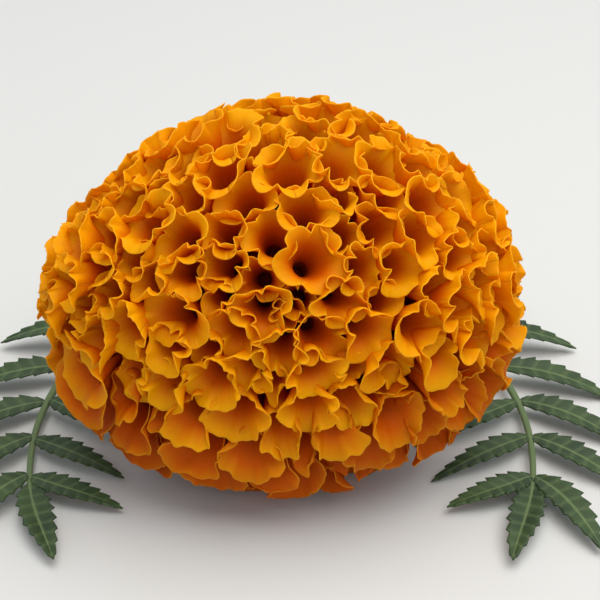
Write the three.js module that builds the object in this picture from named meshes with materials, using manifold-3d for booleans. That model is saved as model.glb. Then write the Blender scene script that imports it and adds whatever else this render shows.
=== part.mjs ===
// A double marigold as picked, lying on a level surface with its stalk and two leaves.
// The origin is on the surface, under the middle of the whole flower. The head faces -Y
// and a little upwards, and the stalk runs back towards +Y.

import * as THREE from "three";
import { mergeVertices } from "three/addons/utils/BufferGeometryUtils.js";
import Module from "manifold-3d";

const wasm = await Module();
wasm.setup();

// Driving dimensions in millimetres and degrees

const HEAD_HALF_WIDTH = 43;
const HEAD_HALF_HEIGHT = 36;
const DOME_HEIGHT = 30;
const UNDERSIDE_DEPTH = 20;
const HEAD_LIFT = 33;
const HEAD_Y = -36.8;
const HEAD_UPWARD_TILT = 24;

// Florets, with their sizes at the crown of the head and at its underside
const FLORET_COUNT = 112;
const GOLDEN_ANGLE = 137.508;
const LAST_FLORET_ANGLE = 120;
const CROWDING = 0.56;
const THROAT_DEPTH = 7;
const TUBE_DEPTH = 4;
const TUBE_RADIUS = { crown: 1.7, under: 2.2 };
const OUTER_LIP = { crown: 8, under: 11.6 };
const INNER_LIP = { crown: 6, under: 6.5 };
const OUTER_FLARE = { crown: 60, under: 96 };
const INNER_FLARE = { crown: 30, under: 38 };
const THROAT_SLOPE = 12;
const WRAP_ANGLE = { crown: 160, under: 90 };
const OUTER_WIDTH_SHARE = 1.05;
const INNER_WIDTH_SHARE = 0.7;
const PETAL_THICKNESS = 0.7;
const WAVE_HEIGHT = { crown: 0.36, under: 0.72 };
const CORE_DEPTH = 8.4;

const CALYX_LENGTH = 24;
const CALYX_TOP_RADIUS = 17;
const CALYX_NECK_RADIUS = 4.2;
const CALYX_RIM_THICKNESS = 1;
const BRACT_COUNT = 8;
const BRACT_TOOTH_LENGTH = 3.4;
const GAP = 0.3;

const STEM_RADIUS = 2.6;
const STEM_FLAT_DEPTH = 0.35;
const STEM_LANDING_Y = 84;
const STEM_END_Y = 108;
const STEM_SIDE_BEND = 8;
const STEM_RIB_COUNT = 6;
const LEAF_JOINT_SHARE = 0.25;
const LEAF_JOINT_SWELLING = 0.7;

const LEAF_THICKNESS = 0.7;
const LEAFLET_PAIRS = 6;
const LEAFLET_LENGTH = 22;
const LEAFLET_WIDTH = 6;
const PETIOLE_SHARE = 0.24;
const RACHIS_RADIUS = { base: 1.1, tip: 0.5 };

const DRAW_SEED = 5;
const RADIANS = Math.PI / 180;
const SKY = new THREE.Vector3(0, 0, 1);
const calyxBottom = -(UNDERSIDE_DEPTH - CORE_DEPTH) - CALYX_LENGTH;

// A repeatable draw between 0 and 1 for piece i and trait k
function draw(i, k) {
  const value = Math.sin(i * 12.9898 + k * 78.233 + DRAW_SEED) * 43758.5453;
  return value - Math.floor(value);
}

function mix(from, to, share) {
  return from + (to - from) * share;
}

// A floret's measure at its age, 0 at the crown of the head and 1 at its underside
function aged(measure, age) {
  return mix(measure.crown, measure.under, age);
}

function smooth(from, to, value) {
  const share = THREE.MathUtils.clamp((value - from) / (to - from), 0, 1);
  return share * share * (3 - 2 * share);
}

// Closed meshes become solids for joining and cutting, and turn back into meshes after

function solidFrom(positions, triangles) {
  return new wasm.Manifold(new wasm.Mesh({
    numProp: 3,
    vertProperties: new Float32Array(positions),
    triVerts: new Uint32Array(triangles),
  }));
}

function solidOfGeometry(geometry) {
  const bare = geometry.clone();
  bare.deleteAttribute("normal");
  bare.deleteAttribute("uv");
  const merged = mergeVertices(bare, 1e-4);
  return solidFrom(merged.attributes.position.array, merged.index.array);
}

function largestPiece(solid) {
  const pieces = solid.decompose();
  return pieces.reduce((best, piece) => (piece.volume() > best.volume() ? piece : best));
}

function meshOfSolid(name, solid, material) {
  const data = solid.getMesh();
  const geometry = new THREE.BufferGeometry();
  geometry.setAttribute("position", new THREE.BufferAttribute(data.vertProperties, 3));
  geometry.setIndex(new THREE.BufferAttribute(data.triVerts, 1));
  geometry.computeVertexNormals();
  const mesh = new THREE.Mesh(geometry, material);
  mesh.name = name;
  return mesh;
}

// Everything under the surface that the flower lies on, seen from inside a group
function groundBlock(group) {
  const block = new THREE.BoxGeometry(400, 400, 40);
  block.translate(0, 0, -20);
  block.applyMatrix4(group.matrixWorld.clone().invert());
  return solidOfGeometry(block);
}

// A closed solid through rings of points that all have the same count
function loftRings(rings) {
  const count = rings[0].length;
  const last = rings.length - 1;
  const positions = [];
  const triangles = [];
  for (const ring of rings) {
    for (const point of ring) {
      positions.push(point.x, point.y, point.z);
    }
  }
  const at = (row, column) => row * count + (column % count);
  for (let row = 0; row < last; row += 1) {
    for (let column = 0; column < count; column += 1) {
      const corner = at(row, column);
      const across = at(row + 1, column + 1);
      triangles.push(corner, at(row, column + 1), across);
      triangles.push(corner, across, at(row + 1, column));
    }
  }
  for (const [row, forward] of [[0, false], [last, true]]) {
    const centre = rings[row].reduce((sum, point) => sum.add(point), new THREE.Vector3());
    centre.divideScalar(count);
    const centreIndex = positions.length / 3;
    positions.push(centre.x, centre.y, centre.z);
    for (let column = 0; column < count; column += 1) {
      const edge = [at(row, column), at(row, column + 1)];
      triangles.push(centreIndex, ...(forward ? edge : edge.reverse()));
    }
  }
  return solidFrom(positions, triangles);
}

// Florets

// Where floret i sits on the head, which way it faces, and how big it is. The florets
// follow the golden angle from the crown down to the underside.
function floretSeat(i) {
  const lastFall = LAST_FLORET_ANGLE * RADIANS;
  const share = ((i + 0.5) / FLORET_COUNT) ** CROWDING;
  const fall = 2 * Math.asin(Math.sin(lastFall / 2) * share);
  const bearing = i * GOLDEN_ANGLE * RADIANS;
  const across = new THREE.Vector3(Math.cos(bearing), Math.sin(bearing), 0);
  const pole = new THREE.Vector3(0, 0, 1);
  const axis = across.clone().multiplyScalar(Math.sin(fall)).addScaledVector(pole, Math.cos(fall));
  const outward = across.clone().multiplyScalar(Math.cos(fall)).addScaledVector(pole, -Math.sin(fall));
  const depth = axis.z > 0 ? DOME_HEIGHT : UNDERSIDE_DEPTH;
  const reach = new THREE.Vector3(HEAD_HALF_WIDTH, HEAD_HALF_HEIGHT, depth).subScalar(THROAT_DEPTH);
  const age = fall / lastFall;
  const size = mix(0.94, 1.06, draw(i, 2));
  return {
    throat: axis.clone().multiply(reach),
    axis,
    outward,
    side: new THREE.Vector3().crossVectors(axis, outward),
    tubeRadius: aged(TUBE_RADIUS, age),
    outerLip: aged(OUTER_LIP, age) * size,
    innerLip: aged(INNER_LIP, age) * size,
    outerFlare: aged(OUTER_FLARE, age) * RADIANS,
    innerFlare: aged(INNER_FLARE, age) * RADIANS,
    wrap: aged(WRAP_ANGLE, smooth(0.1, 0.45, age)) * RADIANS,
    wave: aged(WAVE_HEIGHT, age),
    wavePhases: [draw(i, 3) * 2 * Math.PI, draw(i, 4) * 2 * Math.PI],
  };
}

// A point on a floret: along runs from -1 at the root through 0 at the throat to 1 at the
// rim, and turn goes round the tube from the lip that faces outward. The lip curls over as
// an arc whose slope grows from the throat to the rim, most on the side that faces outward.
function floretPoint(seat, along, turn) {
  const facing = (1 + Math.cos(turn)) / 2;
  const lip = mix(seat.innerLip, seat.outerLip, facing);
  const start = THROAT_SLOPE * RADIANS;
  const bend = mix(seat.innerFlare, seat.outerFlare, facing) - start;
  const climb = Math.max(along, 0);
  const root = Math.min(along, 0);
  const slope = start + bend * climb;
  const widening = (lip * (Math.cos(start) - Math.cos(slope))) / bend;
  const rise = (lip * (Math.sin(slope) - Math.sin(start))) / bend;
  const widthShare = mix(INNER_WIDTH_SHARE, OUTER_WIDTH_SHARE, facing * facing);
  const [phaseA, phaseB] = seat.wavePhases;
  const ripple = Math.sin(2.5 * turn + phaseA) + Math.sin(4.3 * turn + phaseB);
  const wave = seat.wave * climb * climb * ripple;
  const radius = (seat.tubeRadius * (1 + 0.4 * root) + widening) * widthShare + wave * Math.cos(slope);
  const height = TUBE_DEPTH * root + rise - wave * Math.sin(slope);
  return seat.throat.clone()
    .addScaledVector(seat.axis, height)
    .addScaledVector(seat.outward, radius * Math.cos(turn))
    .addScaledVector(seat.side, radius * Math.sin(turn));
}

// A floret is a thin closed blade: one facet wide at the root, three at the waist and five
// at the rim, with the same triangles on both faces
function floretBlade(seat) {
  const rows = [
    { along: -1, facets: 1 },
    { along: 0.45, facets: 3 },
    { along: 1, facets: 5 },
  ];
  const step = 0.02;
  const pointAt = (along, across) => floretPoint(seat, along, seat.wrap * across);
  const normalAt = (along, across) => {
    const lengthwise = pointAt(along + step, across).sub(pointAt(along - step, across));
    const crosswise = pointAt(along, across + step).sub(pointAt(along, across - step));
    return lengthwise.cross(crosswise).normalize();
  };
  const positions = [];
  const triangles = [];
  const rowStarts = [];
  for (const { along, facets } of rows) {
    rowStarts.push(positions.length / 6);
    for (let column = 0; column <= facets; column += 1) {
      const across = (2 * column) / facets - 1;
      const point = pointAt(along, across);
      const half = normalAt(along, across).multiplyScalar(PETAL_THICKNESS / 2);
      positions.push(...point.clone().sub(half).toArray(), ...point.clone().add(half).toArray());
    }
  }
  const under = (row, column) => 2 * (rowStarts[row] + column);
  const over = (row, column) => under(row, column) + 1;
  const bothFaces = (a, b, c) => {
    triangles.push(over(...a), over(...b), over(...c), under(...a), under(...c), under(...b));
  };
  const wall = (a, b) => {
    triangles.push(under(...a), under(...b), over(...b), under(...a), over(...b), over(...a));
  };
  const top = rows.length - 1;
  for (let row = 0; row < top; row += 1) {
    const near = rows[row].facets;
    const far = rows[row + 1].facets;
    let a = 0;
    let b = 0;
    while (a < near || b < far) {
      if (b < far && (a === near || (b + 0.5) / far <= (a + 0.5) / near)) {
        bothFaces([row, a], [row + 1, b], [row + 1, b + 1]);
        b += 1;
      } else {
        bothFaces([row, a], [row + 1, b], [row, a + 1]);
        a += 1;
      }
    }
    wall([row, 0], [row + 1, 0]);
    wall([row + 1, far], [row, near]);
  }
  for (let column = 0; column < rows[top].facets; column += 1) {
    wall([top, column], [top, column + 1]);
  }
  for (let column = rows[0].facets; column > 0; column -= 1) {
    wall([0, column], [0, column - 1]);
  }
  return solidFrom(positions, triangles);
}

// The receptacle under the florets, an egg that is flatter below, inset from the head
function receptacle(inset) {
  const geometry = new THREE.SphereGeometry(1, 12, 8);
  geometry.rotateX(90 * RADIANS);
  const position = geometry.attributes.position;
  for (let i = 0; i < position.count; i += 1) {
    const depth = position.getZ(i) > 0 ? DOME_HEIGHT : UNDERSIDE_DEPTH;
    position.setXYZ(
      i,
      position.getX(i) * (HEAD_HALF_WIDTH - inset),
      position.getY(i) * (HEAD_HALF_HEIGHT - inset),
      position.getZ(i) * (depth - inset),
    );
  }
  return solidOfGeometry(geometry);
}

// Calyx

// The height of the receptacle's underside at a place across the head, where the calyx
// holds it
function receptacleUnderside(x, y) {
  const spanX = x / (HEAD_HALF_WIDTH - CORE_DEPTH);
  const spanY = y / (HEAD_HALF_HEIGHT - CORE_DEPTH);
  return -(UNDERSIDE_DEPTH - CORE_DEPTH) * Math.sqrt(1 - spanX * spanX - spanY * spanY);
}

// A goblet of fused bracts: each bract swells a little, and ends in a pointed tooth that
// lies along the underside of the receptacle
function calyxSolid() {
  const columnsPerBract = 6;
  const columns = BRACT_COUNT * columnsPerBract;
  const outerRows = 6;
  const wallTop = receptacleUnderside(CALYX_TOP_RADIUS, 0) - CALYX_RIM_THICKNESS - GAP;
  const ringOf = (place) => Array.from({ length: columns }, (_, column) => {
    const acrossBract = (column % columnsPerBract) / columnsPerBract;
    return place((2 * Math.PI * column) / columns, 1 - Math.abs(2 * acrossBract - 1));
  });
  const underHead = (turn, radius, drop) => {
    const x = radius * Math.cos(turn);
    const y = radius * Math.sin(turn);
    return new THREE.Vector3(x, y, receptacleUnderside(x, y) - drop);
  };
  const rings = [];
  for (let row = 0; row < outerRows; row += 1) {
    const climb = row / outerRows;
    const plain = mix(CALYX_NECK_RADIUS, CALYX_TOP_RADIUS - 1, Math.sin((climb * Math.PI) / 2) ** 0.8);
    const height = mix(calyxBottom, wallTop, climb * mix(0.7, 1, climb));
    rings.push(ringOf((turn, tooth) => {
      const radius = plain * (1 + 0.1 * climb * (tooth - 0.5));
      return new THREE.Vector3(radius * Math.cos(turn), radius * Math.sin(turn), height);
    }));
  }
  for (const drop of [GAP + CALYX_RIM_THICKNESS, GAP]) {
    rings.push(ringOf((turn, tooth) => {
      const radius = CALYX_TOP_RADIUS + BRACT_TOOTH_LENGTH * (tooth - 0.4);
      return underHead(turn, radius, drop);
    }));
  }
  for (const radius of [CALYX_TOP_RADIUS - 4, CALYX_TOP_RADIUS - 10]) {
    rings.push(ringOf((turn) => underHead(turn, radius, GAP)));
  }
  return loftRings(rings);
}

// Stem

// The line of the stem: out of the calyx, bending down to the surface, then flat along it
class StemLine extends THREE.Curve {
  constructor(start, direction) {
    super();
    const height = STEM_RADIUS - STEM_FLAT_DEPTH;
    const corner = start.clone().addScaledVector(direction, (height - start.z) / direction.z);
    const landing = new THREE.Vector3(start.x, STEM_LANDING_Y, height);
    const end = new THREE.Vector3(start.x, STEM_END_Y, height);
    this.bend = new THREE.QuadraticBezierCurve3(start, corner, landing);
    this.rest = new THREE.LineCurve3(landing, end);
    this.bendShare = this.bend.getLength() / (this.bend.getLength() + this.rest.getLength());
  }

  getPoint(share, target = new THREE.Vector3()) {
    const point = share < this.bendShare
      ? this.bend.getPoint(share / this.bendShare, target)
      : this.rest.getPoint((share - this.bendShare) / (1 - this.bendShare), target);
    point.x += STEM_SIDE_BEND * share * share;
    return point;
  }
}

// A place on a line, with the level direction to its left and the direction square to both
function frameAt(line, share) {
  const along = line.getTangentAt(share);
  const side = new THREE.Vector3().crossVectors(SKY, along).normalize();
  return { point: line.getPointAt(share), side, up: along.clone().cross(side) };
}

function ringAround({ point, side, up }, sides, radiusAt) {
  return Array.from({ length: sides }, (_, column) => {
    const turn = (2 * Math.PI * (column + 0.5)) / sides;
    return point.clone()
      .addScaledVector(side, radiusAt(turn) * Math.cos(turn))
      .addScaledVector(up, radiusAt(turn) * Math.sin(turn));
  });
}

// A ribbed stalk, swollen under the calyx and at the joint where the leaves sit
function stemSolid(line) {
  const steps = 18;
  const sides = 2 * STEM_RIB_COUNT;
  const ribbed = (radius) => (turn) => radius * (1 + 0.04 * Math.sin(STEM_RIB_COUNT * turn));
  const rings = [];
  for (let step = 0; step <= steps; step += 1) {
    const share = step / steps;
    const neck = mix(CALYX_NECK_RADIUS, STEM_RADIUS, smooth(0, 0.28, share));
    const joint = LEAF_JOINT_SWELLING * Math.exp(-(((share - LEAF_JOINT_SHARE) / 0.03) ** 2));
    rings.push(ringAround(frameAt(line, share), sides, ribbed(neck + joint)));
  }
  return loftRings(rings);
}

// Leaves

// Half of a leaflet's width at a share of its length, widest below the middle
function leafletHalfWidth(share) {
  return (LEAFLET_WIDTH / 2) * Math.sin(Math.PI * share ** 0.75) ** 0.8;
}

// The flat outline of a leaflet that runs along +X, with toothed edges
function leafletShape(length) {
  const teeth = 4;
  const edge = [];
  for (let tooth = 0; tooth < teeth; tooth += 1) {
    const notch = (tooth + 0.25) / teeth;
    const point = (tooth + 0.85) / teeth;
    edge.push([notch * length, 0.8 * leafletHalfWidth(notch)]);
    edge.push([point * length, 1.1 * leafletHalfWidth(point) + 0.15]);
  }
  const shape = new THREE.Shape();
  shape.moveTo(0, -0.3);
  for (const [x, y] of edge) {
    shape.lineTo(x, -y);
  }
  shape.lineTo(length * 1.06, 0);
  for (const [x, y] of edge.reverse()) {
    shape.lineTo(x, y);
  }
  shape.lineTo(0, 0.3);
  return shape;
}

// A leaflet is cut from flat stock and then bent: its flat place along and across the leaf
// becomes a place beside the leaf's line, arched up beside the rib and down at the tip
function leafletSolid(line, base, angle, length) {
  const leafLength = line.getLength();
  const geometry = new THREE.ExtrudeGeometry(leafletShape(length), {
    depth: LEAF_THICKNESS,
    bevelEnabled: false,
  });
  geometry.translate(0, 0, -LEAF_THICKNESS / 2);
  geometry.rotateZ(angle);
  geometry.translate(base, 0, 0);
  const position = geometry.attributes.position;
  for (let i = 0; i < position.count; i += 1) {
    const across = position.getY(i);
    const arch = 0.16 * Math.abs(across) - 0.014 * across * across;
    const { point, side, up } = frameAt(line, THREE.MathUtils.clamp(position.getX(i) / leafLength, 0, 1));
    point.addScaledVector(side, across).addScaledVector(up, arch + position.getZ(i));
    position.setXYZ(i, point.x, point.y, point.z);
  }
  return solidOfGeometry(geometry);
}

// Pairs of leaflets and one at the tip, fused to the rib that carries them
function leafSolid(line, seed) {
  const leafLength = line.getLength();
  const petiole = PETIOLE_SHARE * leafLength;
  const tipBase = leafLength - LEAFLET_LENGTH;
  const pieces = [];
  for (let pair = 0; pair < LEAFLET_PAIRS; pair += 1) {
    const share = pair / (LEAFLET_PAIRS - 1);
    for (const hand of [-1, 1]) {
      const trait = seed + hand;
      const base = mix(petiole, tipBase - 4, share) + 2 * draw(pair, trait);
      const angle = hand * (mix(64, 42, share) + 8 * draw(pair, trait + 3));
      const fullness = mix(0.7, 1, Math.sin(Math.PI * mix(0.2, 0.8, share)));
      const length = LEAFLET_LENGTH * fullness * mix(0.92, 1.06, draw(pair, trait + 6));
      pieces.push(leafletSolid(line, base, angle * RADIANS, length));
    }
  }
  pieces.push(leafletSolid(line, tipBase - 1, 0, LEAFLET_LENGTH * 0.94));
  const steps = 12;
  const rings = [];
  for (let step = 0; step <= steps; step += 1) {
    const share = (0.82 * step) / steps;
    const radius = mix(RACHIS_RADIUS.base, RACHIS_RADIUS.tip, share);
    rings.push(ringAround(frameAt(line, share), 6, () => radius));
  }
  pieces.push(loftRings(rings));
  return wasm.Manifold.union(pieces);
}

// The line of a leaf's rib, from the stem round the side of the head towards the front
function leafLine(hand, start) {
  const places = [
    [16, 52, 9.5],
    [34, 37, 5.2],
    [45, 12, 2.3],
    [45, -14, 2.1],
    [38, -36, 2.1],
  ];
  const points = places.map(([x, y, z]) => new THREE.Vector3(hand * x, y, z));
  return new THREE.CatmullRomCurve3([start, ...points]);
}

// Materials

const petalMaterial = new THREE.MeshStandardMaterial({ color: 0xf08a0c, roughness: 0.62, metalness: 0 });
const calyxMaterial = new THREE.MeshStandardMaterial({ color: 0x55702c, roughness: 0.6, metalness: 0 });
const stemMaterial = new THREE.MeshStandardMaterial({ color: 0x5d7434, roughness: 0.58, metalness: 0 });
const leafMaterial = new THREE.MeshStandardMaterial({ color: 0x33512a, roughness: 0.55, metalness: 0 });

// Assembly: the head group's +Z is the way the flower faces, and its +Y leans skywards.
// The flower group stands under the head, and is set back to the middle of the whole.

const flower = new THREE.Group();
const head = new THREE.Group();
head.position.set(0, 0, HEAD_LIFT);
head.rotation.x = (90 - HEAD_UPWARD_TILT) * RADIANS;
flower.add(head);
flower.updateMatrixWorld(true);

const florets = Array.from({ length: FLORET_COUNT }, (_, i) => floretBlade(floretSeat(i)));
const wholeBloom = wasm.Manifold.union([receptacle(CORE_DEPTH), ...florets]);
const bloomSolid = largestPiece(wholeBloom.subtract(groundBlock(head)));
head.add(meshOfSolid("bloom", bloomSolid, petalMaterial));
head.add(meshOfSolid("calyx", calyxSolid(), calyxMaterial));

const stemStart = head.localToWorld(new THREE.Vector3(0, 0, calyxBottom - GAP));
const stemDirection = new THREE.Vector3(0, 0, -1).transformDirection(head.matrixWorld);
const stemLine = new StemLine(stemStart, stemDirection);
flower.add(meshOfSolid("stem", stemSolid(stemLine).subtract(groundBlock(flower)), stemMaterial));

const leafJoint = frameAt(stemLine, LEAF_JOINT_SHARE);
for (const [name, hand, seed] of [["leaf_left", -1, 20], ["leaf_right", 1, 40]]) {
  const start = leafJoint.point.clone().addScaledVector(leafJoint.side, -hand * (STEM_RADIUS + 1.6));
  const solid = leafSolid(leafLine(hand, start), seed);
  flower.add(meshOfSolid(name, largestPiece(solid.subtract(groundBlock(flower))), leafMaterial));
}

const marigold = new THREE.Group();
flower.position.y = HEAD_Y;
marigold.add(flower);

export default marigold;
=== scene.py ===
"""The looks of a double marigold as picked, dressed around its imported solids.

Lengths are in millimetres until a mesh is made. The part's frame is the solids' own: the
flower lies on z = 0, its head faces -y and a little upwards, its stalk runs to +y.
Bloom, Calyx, Stem and Leaf build and dress the pieces, and Studio lays the floor and
sets the lamps and the camera.
"""

import logging
import math
from dataclasses import dataclass, fields
from enum import Enum

import bpy
import numpy as np
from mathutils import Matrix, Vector


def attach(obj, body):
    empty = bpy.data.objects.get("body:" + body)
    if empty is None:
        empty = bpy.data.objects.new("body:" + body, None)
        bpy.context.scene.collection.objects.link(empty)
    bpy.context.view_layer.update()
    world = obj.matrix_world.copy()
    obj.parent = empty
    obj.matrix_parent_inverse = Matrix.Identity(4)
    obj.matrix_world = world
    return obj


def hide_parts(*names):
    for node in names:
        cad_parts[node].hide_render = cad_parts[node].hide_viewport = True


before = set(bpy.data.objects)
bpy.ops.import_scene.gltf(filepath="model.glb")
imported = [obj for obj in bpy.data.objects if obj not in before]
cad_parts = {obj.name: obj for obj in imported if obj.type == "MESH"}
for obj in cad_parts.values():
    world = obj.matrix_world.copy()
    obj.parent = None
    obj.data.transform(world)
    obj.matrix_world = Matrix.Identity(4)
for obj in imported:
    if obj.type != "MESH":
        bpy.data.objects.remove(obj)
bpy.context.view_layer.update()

MM = 0.001
FULL_TURN = 2 * math.pi
GOLDEN_ANGLE = math.radians(137.508)
# The three unit directions, of the part's frame or of the head's own.
X, Y, Z = np.eye(3)

logging.basicConfig(level=logging.INFO, format="%(name)s: %(message)s")
log = logging.getLogger("marigold")


class Slot(Enum):
    """The record's material slots."""

    PETAL = "petal"
    CALYX = "calyx"
    STEM = "stem"
    LEAF = "leaf"


class Hand(Enum):
    """The side of the flower that a leaf is on, seen from the front of the head."""

    LEFT = -1
    RIGHT = 1


# Numbers and curves

Number = np.ndarray | float


def draw(index: np.ndarray | int, trait: int, seed: float = 5.0) -> Number:
    """A repeatable draw from 0 to 1: the fraction of a large multiple of a sine.

    Args:
        index: the number of the piece, or an array of them.
        trait: which of the piece's traits is drawn.
        seed: shifts every draw.
    Returns:
        A value from 0 to 1 for each index.
    """
    value = np.sin(np.asarray(index) * 12.9898 + trait * 78.233 + seed) * 43758.5453
    return value - np.floor(value)


def mix(low: Number, high: Number, share: Number) -> Number:
    """Straight blend from low at share 0 to high at share 1."""
    return low + (high - low) * share


def smooth(low: Number, high: Number, value: Number) -> Number:
    """Cubic step from 0 at low to 1 at high, flat beyond both."""
    share = np.clip((np.asarray(value) - low) / (high - low), 0.0, 1.0)
    return share * share * (3.0 - 2.0 * share)


def unit(vectors: np.ndarray) -> np.ndarray:
    """Vectors scaled to length 1 along their last axis."""
    return vectors / np.maximum(np.linalg.norm(vectors, axis=-1, keepdims=True), 1e-9)


def square_to(axes: np.ndarray, vectors: np.ndarray) -> np.ndarray:
    """What is left of vectors when their part along unit axes is taken away."""
    return vectors - axes * np.sum(vectors * axes, axis=1, keepdims=True)


def around(
    middle: np.ndarray, side: np.ndarray, up: np.ndarray, radius: np.ndarray, turn: np.ndarray
) -> np.ndarray:
    """Points round a line: middle + radius cos(turn) side + radius sin(turn) up.

    Args:
        middle: the line's points.
        side: the direction at turn 0.
        up: the direction at a quarter turn.
        radius: how far the points lie from the line.
        turn: the angles round the line.
    Returns:
        The points.
    """
    right = side * (radius * np.cos(turn))[..., None]
    return middle + right + up * (radius * np.sin(turn))[..., None]


def wrapped(turn: np.ndarray, along: np.ndarray) -> np.ndarray:
    """Pattern places: the share of a full turn, and the share along the piece."""
    return np.stack(np.broadcast_arrays(turn / FULL_TURN, along), axis=-1)


@dataclass(frozen=True)
class Path:
    """A line in space through many points, read by its share of length.

    Attributes:
        points: the line's points in order.
    """

    points: np.ndarray

    @property
    def length(self) -> float:
        """The length of the line."""
        return float(self.reach()[-1])

    def reach(self) -> np.ndarray:
        """Length from the start to each point, the running sum of the steps."""
        steps = np.linalg.norm(np.diff(self.points, axis=0), axis=1)
        return np.concatenate([[0.0], np.cumsum(steps)])

    def at(self, share: np.ndarray) -> np.ndarray:
        """Points at shares of the length, each coordinate read off against length.

        Args:
            share: values from 0 to 1, of any shape.
        Returns:
            The points, with one more axis of 3.
        """
        reach = self.reach()
        where = np.asarray(share, float) * reach[-1]
        return np.stack([np.interp(where, reach, self.points[:, k]) for k in range(3)], axis=-1)

    def frame(self, share: np.ndarray) -> tuple[np.ndarray, np.ndarray, np.ndarray]:
        """Points with the level direction to the left and the direction square to both.

        The direction along the line is the step from just before to just after the
        point; side is the upright crossed with it, and up is it crossed with side.

        Args:
            share: values from 0 to 1, of any shape.
        Returns:
            Points, side directions and up directions.
        """
        share = np.asarray(share, float)
        step = 0.004
        along = unit(self.at(np.clip(share + step, 0, 1)) - self.at(np.clip(share - step, 0, 1)))
        side = unit(np.cross(np.broadcast_to(Z, along.shape), along))
        return self.at(share), side, np.cross(along, side)


def spline_through(points: np.ndarray, per_span: int = 60) -> Path:
    """A centripetal Catmull-Rom line: cubic spans whose end slopes are weighted by the
    square roots of the distances between the points.

    Args:
        points: the points that the line passes, in order.
        per_span: how many steps each span gets.
    Returns:
        The line as a path.
    """
    ends = np.vstack([2 * points[0] - points[1], points, 2 * points[-1] - points[-2]])
    t = np.linspace(0, 1, per_span, endpoint=False)[:, None]
    spans = []
    for a, b, c, d in zip(ends[:-3], ends[1:-2], ends[2:-1], ends[3:]):
        ab, bc, cd = (math.sqrt(np.linalg.norm(q - p)) for p, q in ((a, b), (b, c), (c, d)))
        out = ((b - a) / ab - (c - a) / (ab + bc) + (c - b) / bc) * bc
        into = ((c - b) / bc - (d - b) / (bc + cd) + (d - c) / cd) * bc
        square, cube = 3 * (c - b) - 2 * out - into, 2 * (b - c) + out + into
        spans.append(b + out * t + square * t**2 + cube * t**3)
    return Path(np.vstack([*spans, points[-1:]]))


# Meshes


@dataclass
class Shell:
    """Vertices and faces of a closed mesh, with what its material reads.

    Attributes:
        points: vertex places in millimetres.
        faces: one row of four corners for each face; a triangle repeats its last corner.
        uv: the pattern place of each vertex.
        traits: named numbers, one for each vertex.
    """

    points: np.ndarray
    faces: np.ndarray
    uv: np.ndarray
    traits: dict[str, np.ndarray]

    def join(self, other: "Shell") -> "Shell":
        """Makes one shell of two.

        Args:
            other: a shell with the same traits.
        Returns:
            Both as one.
        """
        return Shell(
            np.vstack([self.points, other.points]),
            np.vstack([self.faces, other.faces + len(self.points)]),
            np.vstack([self.uv, other.uv]),
            {name: np.concatenate([v, other.traits[name]]) for name, v in self.traits.items()},
        )

    def build(self, name: str, material: bpy.types.Material) -> bpy.types.Object:
        """Makes the Blender object, smooth shaded, at the origin.

        Where a trait "over" tells the two sides of thin sheets apart, the faces between
        the sides are shaded flat.

        Args:
            name: the piece's name.
            material: its finish.
        Returns:
            The object, linked to the scene.
        """
        mesh = bpy.data.meshes.new(name)
        triangle = self.faces[:, 2] == self.faces[:, 3]
        counts = np.where(triangle, 3, 4)
        keep = np.ones(self.faces.shape, bool)
        keep[:, 3] = ~triangle
        corners = self.faces[keep].astype(np.int32)
        mesh.vertices.add(len(self.points))
        mesh.vertices.foreach_set("co", (self.points * MM).astype(np.float32).ravel())
        mesh.loops.add(len(corners))
        mesh.loops.foreach_set("vertex_index", corners)
        mesh.polygons.add(len(counts))
        mesh.polygons.foreach_set("loop_start", (np.cumsum(counts) - counts).astype(np.int32))
        mesh.update(calc_edges=True)
        layer = mesh.uv_layers.new(name="UVMap")
        layer.data.foreach_set("uv", self.uv[corners].astype(np.float32).ravel())
        for trait, values in self.traits.items():
            attribute = mesh.attributes.new(trait, "FLOAT", "POINT")
            attribute.data.foreach_set("value", values.astype(np.float32))
        mesh.shade_smooth()
        if "over" in self.traits:
            over = self.traits["over"][self.faces]
            crisp = mesh.attributes.new("sharp_face", "BOOLEAN", "FACE")
            crisp.data.foreach_set("value", over.max(axis=1) > over.min(axis=1))
        mesh.materials.append(material)
        mesh.validate()
        piece = bpy.data.objects.new(name, mesh)
        bpy.context.scene.collection.objects.link(piece)
        return piece


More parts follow.
